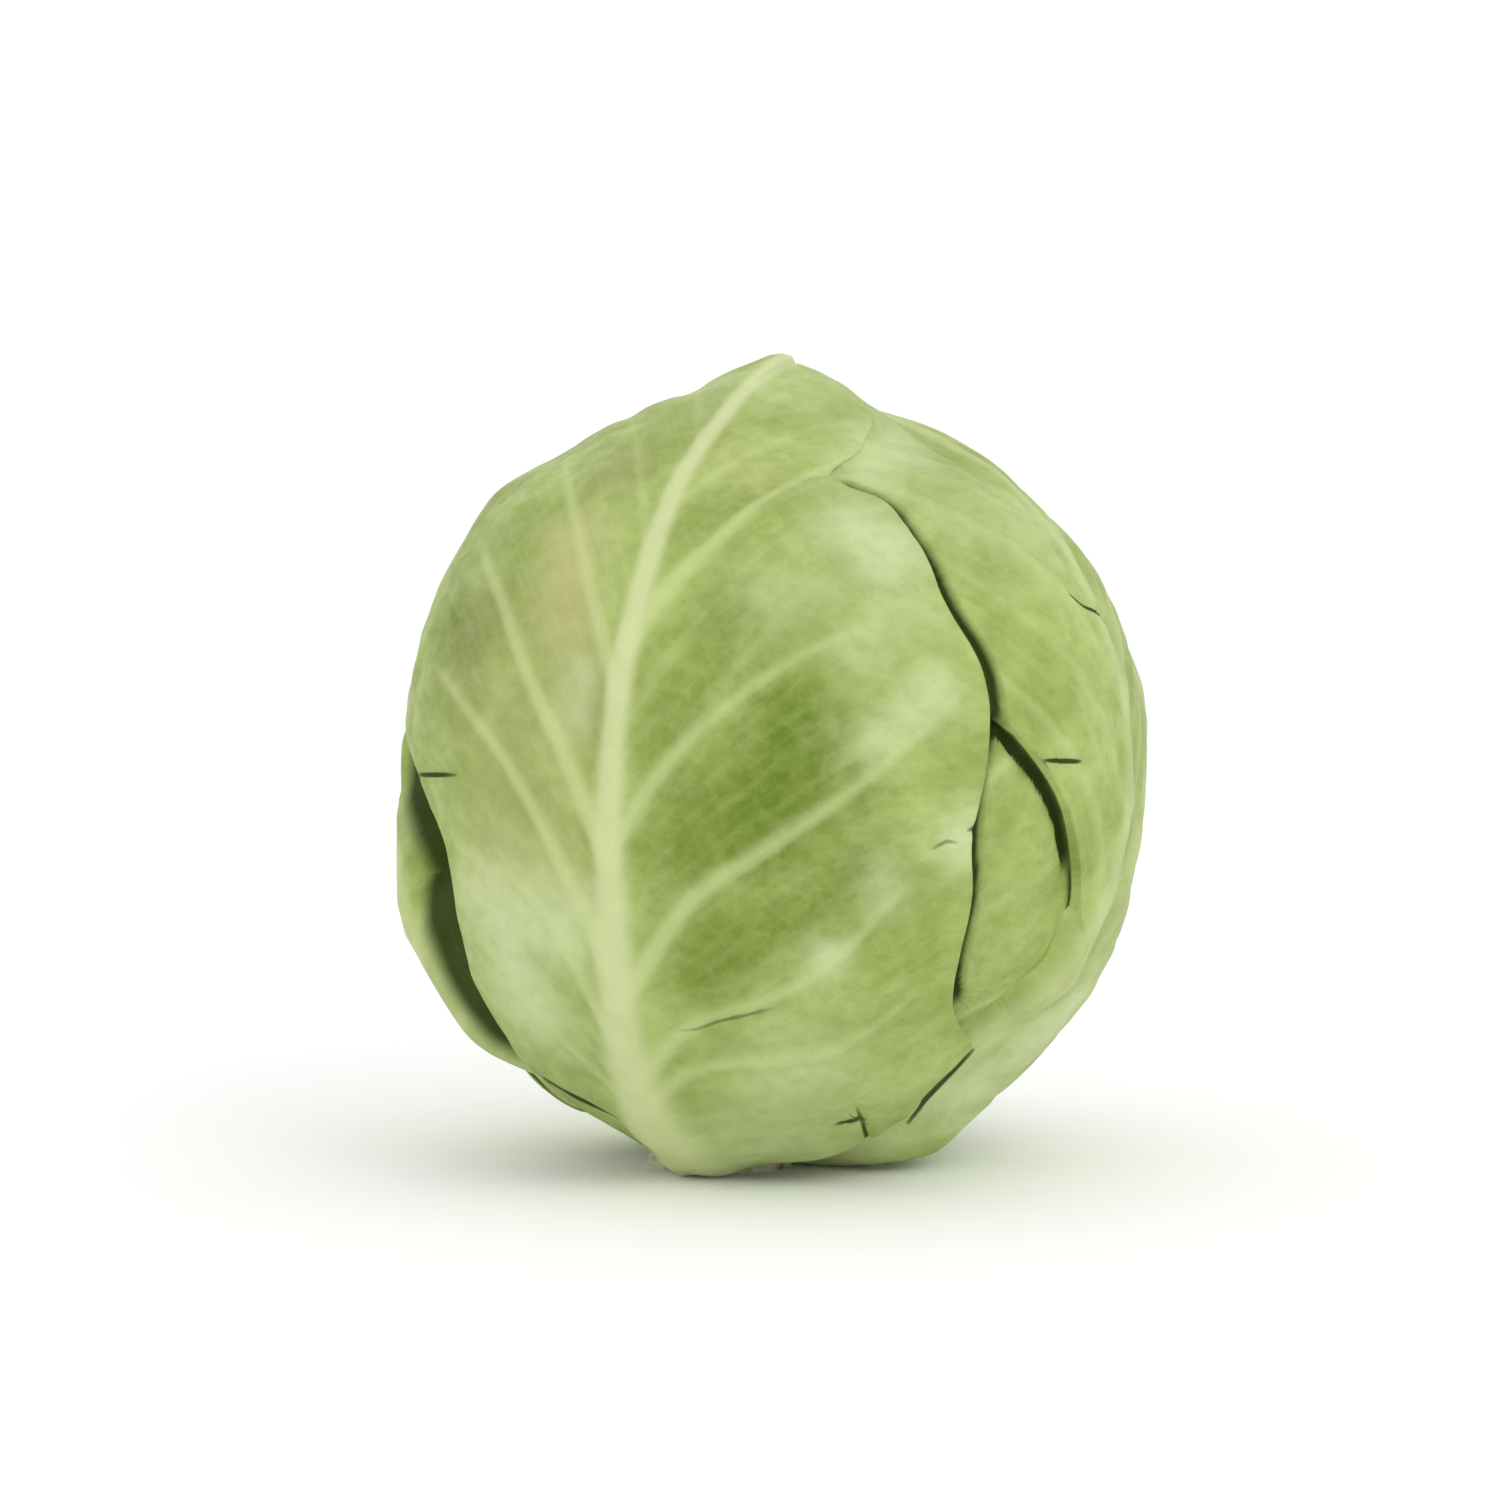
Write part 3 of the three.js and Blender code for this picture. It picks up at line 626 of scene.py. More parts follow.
def margin_width(leaf, rise, side):
    """The margin's offset on a side, with its bites and its waves."""
    width = full_width(leaf, rise, side)
    for bite in leaf["bites"]:
        begun = smooth(bite["start"] - bite["start_soft"], bite["start"] + bite["start_soft"], rise)
        ended = smooth(bite["end"] - bite["end_soft"], bite["end"] + bite["end_soft"], rise)
        width = width * (1 - bite["share"] * (begun - ended) * (side == bite["side"]))
    wave = np.sin(MARGIN_WAVE_TURN * rise + MARGIN_WAVE_SHIFT * leaf["index"] + side)
    wave = wave + MARGIN_RIPPLE * np.sin(MARGIN_RIPPLE_TURN * rise + leaf["index"] + side)
    begun = smooth(LEAF_START, MARGIN_WAVE_START, rise)
    ended = smooth(leaf["tip"], leaf["tip"] - MARGIN_WAVE_END, rise)
    return width + leaf["wave"] * wave * begun * ended


def margin_line(leaf, side, start, end):
    rises = np.linspace(start, end, MARGIN_LINE_STEPS)
    return BALL * direction_at(leaf, rises, side * margin_width(leaf, rises, side))


# ---- ribs ----
def midrib_half_angle(along):
    narrowing = np.exp((LEAF_START - along) / MIDRIB_NARROWING)
    return MIDRIB_TIP_HALF_ANGLE + (MIDRIB_BASE_HALF_ANGLE - MIDRIB_TIP_HALF_ANGLE) * narrowing


def midrib_shape(along, offset):
    return np.exp(-((np.abs(offset) / midrib_half_angle(along)) ** MIDRIB_ROUNDNESS))


def midrib_height(along, offset):
    fade = np.exp((LEAF_START - along) / MIDRIB_FADE)
    return (MIDRIB_TIP_HEIGHT + (MIDRIB_BASE_HEIGHT - MIDRIB_TIP_HEIGHT) * fade) * midrib_shape(along, offset)


def rib_room(along, offset):
    return PRESSED_RIB_SHARE * (midrib_height(along, offset) + VEIN_HEIGHT)


# ---- how the leaves lie one in another ----
def cover(leaf, place, margin=TUCK_MARGIN, softness=TUCK_SOFTNESS):
    """1 where a leaf lies over what is inside it, and falling to 0 beside it."""
    along, offset, rise = place
    beside = np.abs(offset) - full_width(leaf, rise, offset)
    beyond = rise - leaf["tip"]
    before = LEAF_START - along
    return 1 - smooth(margin, margin + softness, np.maximum(np.maximum(beside, beyond), before))


def gap_beside(leaf, gap, d, place):
    """How deep a direction is in a gap, 0 to 1. Its floor is level from under the margin outward, and its far
    wall then climbs."""
    _, offset, rise = place
    side = gap["side"]
    away, along_gap, _ = to_line(BALL * d, margin_line(leaf, side, gap["start"], gap["end"]))
    away = np.where(side * offset > margin_width(leaf, rise, side), away, -away)
    floor, wall = through(gap["floor"], along_gap), through(gap["wall"], along_gap)
    ends = smooth(0, GAP_END_SHARE, along_gap) * smooth(1, 1 - GAP_END_SHARE, along_gap)
    return ends * smooth(-GAP_UNDERCUT, 0, away) * smooth(1, 0, (away - floor) / wall)


def tuck(index, d):
    """How deep the leaves outside the one at an index push it. Then how much they cover it, and how deep it
    lies in the gap beside a margin, both from 0 to 1."""
    depth, open_share, shade = (np.full(d.shape[:-1], float(x)) for x in (0, 1, 0))
    for leaf in wrappers[:index]:
        place = leaf_place(leaf, d)
        over = cover(leaf, place)
        depth = depth + over * (LAYER_DEPTH + (1 - open_share) * rib_room(place[0], place[1]))
        open_share = open_share * (1 - over)
        for gap in leaf["gaps"]:
            near = gap_beside(leaf, gap, d, place)
            depth = depth + gap["depth"] * near
            shade = np.maximum(shade, near)
    return depth, 1 - open_share, shade


wrappers = [place_leaf(leaf, i) for i, leaf in enumerate(WRAPPERS)]


# ---- meshes ----
def new_mesh(name, points, faces, attributes):
    """A smooth mesh object from points in mm, with named values or vectors on its points."""
    mesh = bpy.data.meshes.new(name)
    mesh.from_pydata((points * MM).tolist(), [], faces)
    for key, values in attributes.items():
        kind, field = ("FLOAT", "value") if values.ndim == 1 else ("FLOAT_VECTOR", "vector")
        mesh.attributes.new(key, kind, "POINT").data.foreach_set(field, values.astype(np.float32).ravel())
    mesh.polygons.foreach_set("use_smooth", [True] * len(mesh.polygons))
    mesh.update()
    made = bpy.data.objects.new(name, mesh)
    bpy.context.scene.collection.objects.link(made)
    return made


def sheet_faces(rows, columns):
    """The faces of a closed sheet whose outer points come first, row by row, and then its inner points."""
    count = rows * columns
    at = np.arange(count).reshape(rows, columns)
    a, b, c, d = at[:-1, :-1], at[:-1, 1:], at[1:, 1:], at[1:, :-1]
    outer = np.stack([a, b, c, d], -1).reshape(-1, 4)
    inner = outer[:, ::-1] + count
    rim = np.concatenate([at[0, :-1], at[:-1, -1], at[-1, :0:-1], at[:0:-1, 0]])
    following = np.roll(rim, -1)
    edge = np.stack([following, rim, rim + count, following + count], -1)
    return np.concatenate([outer, inner, edge])


def ring_faces(rings, sides):
    """The faces of a closed skin: a first point, rings of points, and a last point."""
    at = 1 + np.arange(rings * sides).reshape(rings, sides)
    after = np.roll(at, -1, 1)
    walls = np.stack([at[:-1], after[:-1], after[1:], at[1:]], -1).reshape(-1, 4).tolist()
    first = [(0, b, a) for a, b in zip(at[0].tolist(), after[0].tolist())]
    last = [(a, b, 1 + rings * sides) for a, b in zip(at[-1].tolist(), after[-1].tolist())]
    return first + walls + last


# ---- a leaf's fine relief ----
def even_veins(leaf):
    """Side veins on both sides of a leaf: every other one is weaker, and each has a fork half way out."""
    made = []
    steps = np.arange(EVEN_VEIN_POINTS)
    for i, rise in enumerate(leaf["veins"]):
        for side in (-1, 1):
            end = EVEN_VEIN_LENGTH * margin_width(leaf, rise, side)
            stray = noise(VEIN_WANDER_STEP * steps, VEIN_WANDER_SHIFT * i, side, leaf["index"])
            stray = VEIN_WANDER * np.minimum(1, steps / 2) * stray
            rises = rise + stray - VEIN_ROOT_DROP * (steps == 0) * (rise > LOW_VEINS_END)
            made.append(side_vein(side, end, EVEN_VEIN_STRENGTHS[i % 2], rises))
            turned = FORK_SPREAD if (i + side) % 3 else -FORK_SPREAD
            fork = through(rises, FORK_START + FORK_STEP * np.arange(len(FORK_SHAPE))) + turned * FORK_SHAPE
            made.append(side_vein(side, end, FORK_STRENGTH, fork, FORK_START * end))
    return made


def vein_relief(leaf, points):
    """How near each point of the ball is to a side vein, from 0 to 1, and how far it is from any, in mm."""
    near, clear = np.zeros(points.shape[:-1]), np.full(points.shape[:-1], np.inf)
    steps = np.linspace(0, 1, VEIN_STEPS)
    for vein in leaf["side_veins"] or even_veins(leaf):
        start, end, strength = vein["start"], vein["end"], vein["strength"]
        offsets = vein["side"] * (start + (end - start) * steps)
        line = on_ball(leaf, np.stack([through(vein["rises"], steps), offsets], 1))
        away, place, _ = to_line(points, line)
        outward = (start + (end - start) * place) / end
        half_width = VEIN_BASE_HALF_WIDTH + (VEIN_END_HALF_WIDTH - VEIN_BASE_HALF_WIDTH) * np.sqrt(outward)
        half_width = half_width * (WEAK_VEIN_WIDTH + (1 - WEAK_VEIN_WIDTH) * strength)
        height = strength * (1 - VEIN_FADE * outward) * smooth(1, VEIN_END_START, place)
        near = np.maximum(near, height * np.exp(-((away / half_width) ** 2)))
        clear = np.minimum(clear, away + WEAK_VEIN_CLEARANCE * (1 - strength))
    return near, clear


def groove_relief_and_shade(leaf, points):
    """How deep each point lies in a tear, in mm. Then, for its colour, how far the point is from the nearest
    tear's line, in half widths and signed by the side, and how strong the tear's painted shade is there."""
    relief, dark = np.zeros(points.shape[:-1]), np.zeros(points.shape[:-1])
    aside = np.full(points.shape[:-1], float(TEAR_FAR))
    for groove in leaf["shaded_grooves"]:
        line = on_ball(leaf, groove["line"])
        away, place, nearest = to_line(points, line)
        bulge = np.sqrt(np.sin(math.pi * np.clip(place, TEAR_ROUND_END, 1 - TEAR_ROUND_END)))
        taper = TEAR_END_SHARE + (1 - TEAR_END_SHARE) * bulge
        relief -= groove["depth"] * taper * np.exp(-((away / TEAR_VALLEY) ** 2))
        across = np.cross(line[-1] - line[0], line[0])
        signed = np.where((points - nearest) @ across < 0, -away, away) / (groove["half_width"] * taper)
        ends = smooth(0, TEAR_SOFT_END, place) * smooth(1, 1 - TEAR_SOFT_END, place)
        fade = smooth(TEAR_FADE_END, TEAR_FADE_START, np.abs(signed))
        nearer = np.abs(signed) < np.abs(aside)
        aside = np.where(nearer, np.clip(signed, -TEAR_FAR, TEAR_FAR), aside)
        dark = np.where(nearer, groove["shade_strength"] * taper * ends * fade, dark)
    return relief, aside, dark


def crinkle_relief(points):
    fine = noise_at(FINE_CRINKLE_TURNS * points, CRINKLE_SIZE, CRINKLE_SEED + 1)
    return CRINKLE * (noise_at(points, CRINKLE_SIZE, CRINKLE_SEED) + FINE_CRINKLE_SHARE * fine)


def blade_relief(leaf, points, along, offset, share):
    """The ribs, the blade puffed between them and its crinkles, in mm. Then how near each point is to a side
    vein, from 0 to 1."""
    vein, clear = vein_relief(leaf, points)
    beside_rib = smooth(0, PUFF_START, share)
    puff = BLADE_PUFF * smooth(0, PUFF_REACH, clear) * beside_rib * smooth(1, PUFF_END, share)
    beside_midrib = smooth(1, VEIN_ROOT_SHARE, midrib_shape(along, offset))
    ribs = midrib_height(along, offset) + VEIN_HEIGHT * vein * beside_midrib
    return ribs + puff + crinkle_relief(points) * beside_rib, vein


def margin_turn(leaf, rise, offset):
    """How much the margin beside each point goes in or out over two degrees of rise, in degrees."""
    turn = np.zeros_like(rise)
    for side in (-1, 1):
        change = margin_width(leaf, rise + 1, side) - margin_width(leaf, rise - 1, side)
        turn = np.where(side * offset > 0, np.abs(change), turn)
    return turn


def blade_lift(leaf, d, place, depth, covered):
    """How far the blade stands off its own layer, in mm. It lifts and flares where nothing lies over it, and
    is pressed onto the leaf beneath along some stretches of its margin."""
    rise, offset, share = place
    ripple = np.sin(FLARE_TURN * rise + FLARE_SHIFT * leaf["index"] + np.sign(offset))
    ripple = (1 + FLARE_LEAST + (1 - FLARE_LEAST) * ripple) / 2
    lift = (leaf["lift"] + leaf["flare"] * ripple * share**FLARE_POWER) * (1 - covered) ** 2
    turn = margin_turn(leaf, rise, offset)
    lift *= smooth(CROWN_END, CROWN_START, rise) * smooth(TURN_END, TURN_START, turn)
    for stretch in leaf["pressed"]:
        begun = smooth(-PRESSED_END, PRESSED_END, rise - stretch["start"])
        ended = smooth(stretch["end"], stretch["end"] - PRESSED_END, rise)
        near_margin = smooth(stretch["width"], 0, (1 - share) * margin_width(leaf, rise, stretch["side"]))
        held = begun * ended * near_margin * (stretch["side"] * offset > 0)
        beneath = tuck(stretch["onto"], d)[0] - depth + PRESSED_MARGIN_SINK
        lift = lift * (1 - held) - beneath * held
    return lift


def patch_tone(leaf, points, kind):
    """How much of a kind of colour patch each point has, from 0 to 1, with uneven edges."""
    fine = noise_at(PATCH_FINE_TURNS * points, PATCH_EDGE_SIZE, PATCH_SEED + 1)
    uneven = 1 + PATCH_EDGE * (noise_at(points, PATCH_EDGE_SIZE, PATCH_SEED) + PATCH_FINE_SHARE * fine)
    tone = np.zeros(points.shape[:-1])
    for spot in leaf[kind]:
        away = to_line(points, on_ball(leaf, spot["line"]))[0] * uneven
        tone = np.maximum(tone, spot["strength"] * np.exp(-((away / spot["reach"]) ** 2)))
    return tone


# ---- a leaf's sheet ----
def leaf_rows(leaf):
    """Rises from the stalk to the tip, closer together where a margin turns in or out."""
    fine = np.linspace(LEAF_START, leaf["tip"], ROW_SAMPLES)
    turns = sum(np.abs(np.gradient(margin_width(leaf, fine, side), fine)) for side in (-1, 1))
    count = np.cumsum(1 + ROWS_AT_TURNS * np.minimum(turns, STEEPEST_TURN))
    return np.interp(np.linspace(count[0], count[-1], leaf["rows"] + 1), count, fine)


def leaf_columns(leaf, rises):
    """Offsets on both sides of the midrib, row by row, and each one's share of the way to the margin."""
    rib_steps = np.arange(1, RIB_COLUMNS + 1) / RIB_COLUMNS
    blade_columns = leaf["columns"] - RIB_COLUMNS
    blade_steps = 1 - (1 - np.arange(1, blade_columns + 1) / blade_columns) ** MARGIN_CROWDING
    halves = []
    for side in (-1, 1):
        width = margin_width(leaf, rises, side)[:, None]
        foot = np.minimum(RIB_FOOT * midrib_half_angle(rises)[:, None], RIB_MOST_SHARE * width)
        offsets = np.concatenate([foot * rib_steps, foot + (width - foot) * blade_steps], 1)
        halves.append((side * offsets, offsets / width))
    (left, left_share), (right, right_share) = halves
    zero = np.zeros((len(rises), 1))
    offset = np.concatenate([left[:, ::-1], zero, right], 1)
    share = np.concatenate([left_share[:, ::-1], zero, right_share], 1)
    return offset, share


def leaf_surface(leaf):
    """A leaf's directions, how far its outer and inner faces reach along them, and what its colours go by."""
    rises = leaf_rows(leaf)
    offset, share = leaf_columns(leaf, rises)
    rise = np.repeat(rises[:, None], offset.shape[1], 1)
    along = along_at(rise, offset)
    d = direction_at(leaf, rise, offset)
    points = BALL * d
    depth, covered, shade = tuck(leaf["index"], d)
    relief, vein = blade_relief(leaf, points, along, offset, share)
    relief = relief * (1 - covered * (1 - PRESSED_RIB_SHARE))
    torn, tear_aside, groove_shade = groove_relief_and_shade(leaf, points)

    lift = blade_lift(leaf, d, (rise, offset, share), depth, covered)
    blade = head_reach(d) - depth - covered * rib_room(along, offset) + lift
    floor = (CENTRE[2] - FLOOR_CLEARANCE) / np.maximum(LEAST_FALL, -d[..., 2])
    outer = np.minimum(blade + relief, floor)
    thickness = BLADE_THICKNESS + (MARGIN_THICKNESS - BLADE_THICKNESS) * share**THINNING_POWER
    inner = np.minimum(blade, outer) - thickness + np.minimum(0, torn)

    beside, onward = offset * TEXTURE_MM_PER_DEGREE, along * TEXTURE_MM_PER_DEGREE
    pattern = np.full_like(rise, TEXTURE_STEP * leaf["index"])
    tones = [patch_tone(leaf, points, kind) for kind in ("deep", "pale_and_highlight", "blush")]
    return d, outer + torn, inner, dict(
        midrib=midrib_shape(along, offset),
        vein=vein,
        shade=shade,
        groove=np.stack([tear_aside, groove_shade, np.zeros_like(shade)], -1),
        place=np.stack([beside, onward, pattern], -1),
        grain=np.stack([GRAIN_STRETCH * beside, rise * TEXTURE_MM_PER_DEGREE, pattern], -1),
        tones=np.stack(tones, -1),
    )


def build_leaf(leaf):
    d, outer, inner, facts = leaf_surface(leaf)
    rows, columns = outer.shape
    points = np.concatenate([(d * reach[..., None]).reshape(-1, 3) for reach in (outer, inner)])
    count = rows * columns
    facts = {key: np.concatenate([v.reshape(count, -1)] * 2).squeeze() for key, v in facts.items()}
    return new_mesh(leaf["name"] + "_fine", points + CENTRE, sheet_faces(rows, columns).tolist(), facts)


# ---- the heart and the stalk ----
def round_stalk(angle, turn):
    """The direction at an angle off the stalk's line, turned so far round it."""
    angle, turn = angle * RADIANS, np.asarray(turn)[..., None]
    ahead, aside = wrappers[0]["ahead"], wrappers[0]["aside"]
    return math.cos(angle) * STALK_LINE + math.sin(angle) * (np.cos(turn) * ahead + np.sin(turn) * aside)


def build_rings(name, sides, rings, first, last, facts):
    """A closed skin of (angle, reach) rings round the stalk's line, between a first reach along it and a last
    point. A ring's reach is a number or depends on directions. The facts have a value for each ring."""
    turns = 2 * math.pi * np.arange(sides) / sides
    points = [STALK_LINE[None] * first]
    for angle, reach in rings:
        d = round_stalk(angle, turns)
        points.append(d * (reach(d)[:, None] if callable(reach) else reach))
    points.append(last[None])
    facts = {key: np.concatenate([[v[0]], np.repeat(v, sides), [v[-1]]]) for key, v in facts.items()}
    return new_mesh(name, np.concatenate(points) + CENTRE, ring_faces(len(rings), sides), facts)


def young_leaf(i):
    return place_leaf(dict(tip=HEART_FIRST_TIP - HEART_TIP_STEP * i), len(WRAPPERS) + i)


young_leaves = [young_leaf(i) for i in range(HEART_LEAVES)]


def heart_reach(d):
    reach = head_reach(d) - tuck(len(wrappers), d)[0]
    open_share = 1
    for leaf in young_leaves:
        place = leaf_place(leaf, d)
        over = open_share * cover(leaf, place, 0, HEART_STEP_SOFTNESS)
        reach = reach - HEART_RIB_SHARE * over * (MIDRIB_BASE_HEIGHT - midrib_height(place[0], place[1]))
        open_share = open_share - over
        reach = reach - HEART_LEAF_STEP * open_share
    return reach + CRINKLE * noise_at(BALL * d, CRINKLE_SIZE, CRINKLE_SEED)


def build_heart():
    socket_top = STALK_TOP_REACH - HEART_SOCKET_CLEARANCE
    angles = np.linspace(HEART_SOCKET_ANGLE, 180, HEART_RINGS + 1)[:-1]
    rings = [(HEART_SOCKET_TOP_SHARE * HEART_SOCKET_ANGLE, socket_top), (HEART_SOCKET_ANGLE, socket_top)]
    rings += [(angle, heart_reach) for angle in angles]
    crown = -STALK_LINE
    return build_rings("heart_fine", HEART_SIDES, rings, socket_top, crown * heart_reach(crown[None])[0], {})


def build_stalk():
    """The cut face is a few rings in the plane of the table, and the side has low flutes."""
    def cut(d):
        return CENTRE[2] / -d[..., 2]

    def fluted(reach):
        return lambda d: reach + STALK_FLUTE_HEIGHT * noise_at(BALL * d, STALK_FLUTE_SIZE, STALK_FLUTE_SEED)

    shares = np.linspace(STALK_CUT_START, 1, STALK_CUT_RINGS)
    rings = [(STALK_HALF_ANGLE * share, cut) for share in shares]
    side = np.linspace(STALK_SIDE_START, STALK_SIDE_END, STALK_SIDE_RINGS)
    rings += [(STALK_HALF_ANGLE - STALK_PINCH * (i % 2), fluted(reach)) for i, reach in enumerate(side)]
    rings += [(STALK_TOP_SHARE * STALK_HALF_ANGLE, STALK_TOP_REACH)]
    beyond = np.ones(STALK_SIDE_RINGS + 1)
    veins = np.exp(-(((shares - STALK_VEINS_PLACE) / STALK_VEINS_WIDTH) ** 2))
    facts = dict(
        ring=np.concatenate([veins, STALK_SIDE_VEINS * beyond]),
        rim=np.concatenate([smooth(STALK_RIM_START, 1, shares), STALK_SIDE_RIM * beyond]),
    )
    cut_centre, top = CENTRE[2] / -STALK_LINE[2], STALK_LINE * STALK_TOP_REACH
    return build_rings("stalk_fine", STALK_SIDES, rings, cut_centre, top, facts)


# ---- materials ----
def srgb(red, green, blue):
    """The shader colour of a colour given as it looks on a screen, from 0 to 255."""
    return [((c / 255 + 0.055) / 1.055) ** 2.4 for c in (red, green, blue)] + [1.0]


BLADE_DEEP = srgb(98, 121, 20)
BLADE_MIDDLE = srgb(148, 165, 84)
BLADE_LIGHT = srgb(170, 187, 108)
# A pale blade tone for the veinlets and streaks, and for pale patches that are partly painted highlight.
BLADE_PALE_AND_HIGHLIGHT = srgb(202, 214, 164)
BLADE_BLUSH = srgb(184, 176, 122)
# Painted shade, for the gaps beside margins and for the lines along the grooves.
BLADE_SHADE = srgb(38, 56, 2)
RIB_PALE = srgb(206, 214, 160)
VEIN_PALE = srgb(198, 210, 146)
HEART_LIGHT = srgb(176, 186, 118)
HEART_PALE = srgb(204, 210, 156)
STALK_PALE = srgb(226, 224, 186)
STALK_RING = srgb(188, 190, 132)
STALK_BROWN = srgb(158, 132, 84)
FLOOR_WHITE = srgb(253, 253, 253)
FLOOR_BRIGHT = srgb(254, 254, 254)


class Shader:
    """Makes a material's nodes. A node, a number and a colour can each be given as an input."""

    def __init__(self, name):
        self.material = bpy.data.materials.new(name)
        self.material.use_nodes = True
        self.tree = self.material.node_tree
        self.tree.nodes.clear()

    def node(self, kind, inputs=(), **settings):
        made = self.tree.nodes.new("ShaderNode" + kind)
        for key, value in settings.items():
            setattr(made, key, value)
        for socket, value in dict(inputs).items():
            self.connect(made.inputs[socket], value)
        return made

    def connect(self, socket, value):
        if isinstance(value, bpy.types.Node):
            value = value.outputs[0]
        if isinstance(value, bpy.types.NodeSocket):
            self.tree.links.new(value, socket)
        else:
            socket.default_value = value

    def math(self, operation, a, b=0.0):
        return self.node("Math", {0: a, 1: b}, operation=operation)

    def vector_math(self, operation, a, b):
        return self.node("VectorMath", {0: a, 1: b}, operation=operation)

    def span(self, value, start, end, low=0.0, high=1.0):
        """Takes start..end smoothly to low..high."""
        sockets = {"Value": value, "From Min": start, "From Max": end, "To Min": low, "To Max": high}
        return self.node("MapRange", sockets, interpolation_type="SMOOTHSTEP")

    def mix(self, share, a, b):
        made = self.node("Mix", {0: share, 6: a, 7: b}, data_type="RGBA")
        return made.outputs[2]

    def wash(self, colour, tint, share, mask):
        """Mixes a share of a tint into a colour, as far as a mask goes."""
        return self.mix(self.math("MULTIPLY", mask, share), colour, tint)

    def attribute(self, name):
        return self.node("Attribute", attribute_name=name, attribute_type="GEOMETRY").outputs

    def vector_attribute(self, name):
        """The three values of a vector attribute."""
        return self.node("SeparateXYZ", {0: self.attribute(name)["Vector"]}).outputs

    def millimetres(self):
        """A point's place in the object, in mm."""
        return self.vector_math("MULTIPLY", self.node("TexCoord").outputs["Object"], (1 / MM,) * 3)

    def noise(self, place, scale, detail=3.0):
        return self.node("TexNoise", {"Vector": place, "Scale": scale, "Detail": detail, "Roughness": 0.55})

    def net(self, place, size):
        """1 on the lines of a net whose meshes are about a size in mm, and 0 between them."""
        cells = self.node("TexVoronoi", {"Vector": place, "Scale": 1 / size}, feature="DISTANCE_TO_EDGE")
        return self.span(cells, 0.0, NET_LINE, 1.0, 0.0)

    def waxy(self, place):
        """The roughness of waxy leaf, which goes up and down a little."""
        return self.span(self.noise(place, GLOSS_SCALE, 4.0), *GLOSS_RANGE, *WAX_ROUGHNESS)

    def bump(self, height, strength, distance):
        return self.node("Bump", {"Height": height, "Strength": strength, "Distance": distance})

    def finish(self, colour, roughness, **surface):
        inputs = {"Base Color": colour, "Roughness": roughness, **surface}
        self.node("OutputMaterial", {"Surface": self.node("BsdfPrincipled", inputs)})
        return self.material


def leaf_material(leaf):
    s = Shader(leaf["name"] + "_look")
    place, grain = s.attribute("place")["Vector"], s.attribute("grain")["Vector"]
    midrib, vein = s.attribute("midrib")["Fac"], s.attribute("vein")["Fac"]
    tear_aside, groove_shade, _ = s.vector_attribute("groove")
    # The grooves' painted shade lines, joined to the painted shade of the gaps beside margins.
    torn = s.math("MULTIPLY", groove_shade, s.span(s.math("ABSOLUTE", tear_aside), *GROOVE_SHADE_RANGE, 1.0, 0.0))
    shade = s.math("MAXIMUM", s.attribute("shade")["Fac"], torn)
    deep, pale_and_highlight, blush = s.vector_attribute("tones")
    bend = s.vector_math("MULTIPLY", s.noise(place, NET_BEND_SCALE, 2.0).outputs["Color"], NET_BEND)
    net_place = s.vector_math("ADD", place, bend)
    coarse_net, fine_net = s.net(net_place, COARSE_NET_SIZE), s.net(net_place, FINE_NET_SIZE)
    mottle = s.span(s.noise(place, MOTTLE_SCALE, 4.0), *MOTTLE_RANGE)
    streak = s.span(s.noise(grain, STREAK_SCALE), *STREAK_RANGE)

    blade = s.mix(s.span(s.noise(place, TONE_SCALE, 2.0), *TONE_RANGE), BLADE_MIDDLE, BLADE_LIGHT)
    for tint, share, mask in [
        (BLADE_DEEP, MOTTLE_SHARE, mottle),
        (BLADE_DEEP, s.span(mottle, 0, 1, *DEEP_SHARES), deep),
        # Pale patches, partly painted highlight.
        (BLADE_PALE_AND_HIGHLIGHT, s.span(mottle, 0, 1, *PALE_AND_HIGHLIGHT_SHARES), pale_and_highlight),
        (BLADE_BLUSH, BLUSH_SHARE, blush),
        (BLADE_PALE_AND_HIGHLIGHT, STREAK_SHARE, streak),
        (BLADE_PALE_AND_HIGHLIGHT, COARSE_NET_SHARE, coarse_net),
        (BLADE_PALE_AND_HIGHLIGHT, FINE_NET_SHARE, fine_net),
    ]:
        blade = s.wash(blade, tint, share, mask)
    blade = s.mix(s.span(vein, *VEIN_RANGE, 0.0, leaf["vein_show"]), blade, VEIN_PALE)
    colour = s.mix(s.span(midrib, *RIB_RANGE, 0.0, leaf["rib_show"]), blade, RIB_PALE)
    colour = s.mix(s.span(shade, *SHADE_RANGE, 0.0, SHADE_SHARE), colour, BLADE_SHADE)

    coarse_height = s.math("MULTIPLY", coarse_net, COARSE_NET_HEIGHT)
    height = s.math("ADD", coarse_height, s.math("MULTIPLY", fine_net, FINE_NET_HEIGHT))
    height = s.math("ADD", height, s.noise(place, PORE_SCALE, 4.0))
    roughness = s.math("ADD", s.waxy(place), s.math("MULTIPLY", shade, SHADE_ROUGHNESS))
    return s.finish(colour, roughness, Normal=s.bump(height, *LEAF_BUMP), **LEAF_SURFACE)


def heart_material():
    s = Shader("heart_look")
    place = s.millimetres()
    net = s.net(place, HEART_NET_SIZE)
    colour = s.mix(s.span(s.noise(place, HEART_TONE_SCALE), *TONE_RANGE), HEART_LIGHT, HEART_PALE)
    colour = s.wash(colour, HEART_PALE, HEART_NET_SHARE, net)
    return s.finish(colour, s.waxy(place), Normal=s.bump(net, *HEART_BUMP), **HEART_SURFACE)


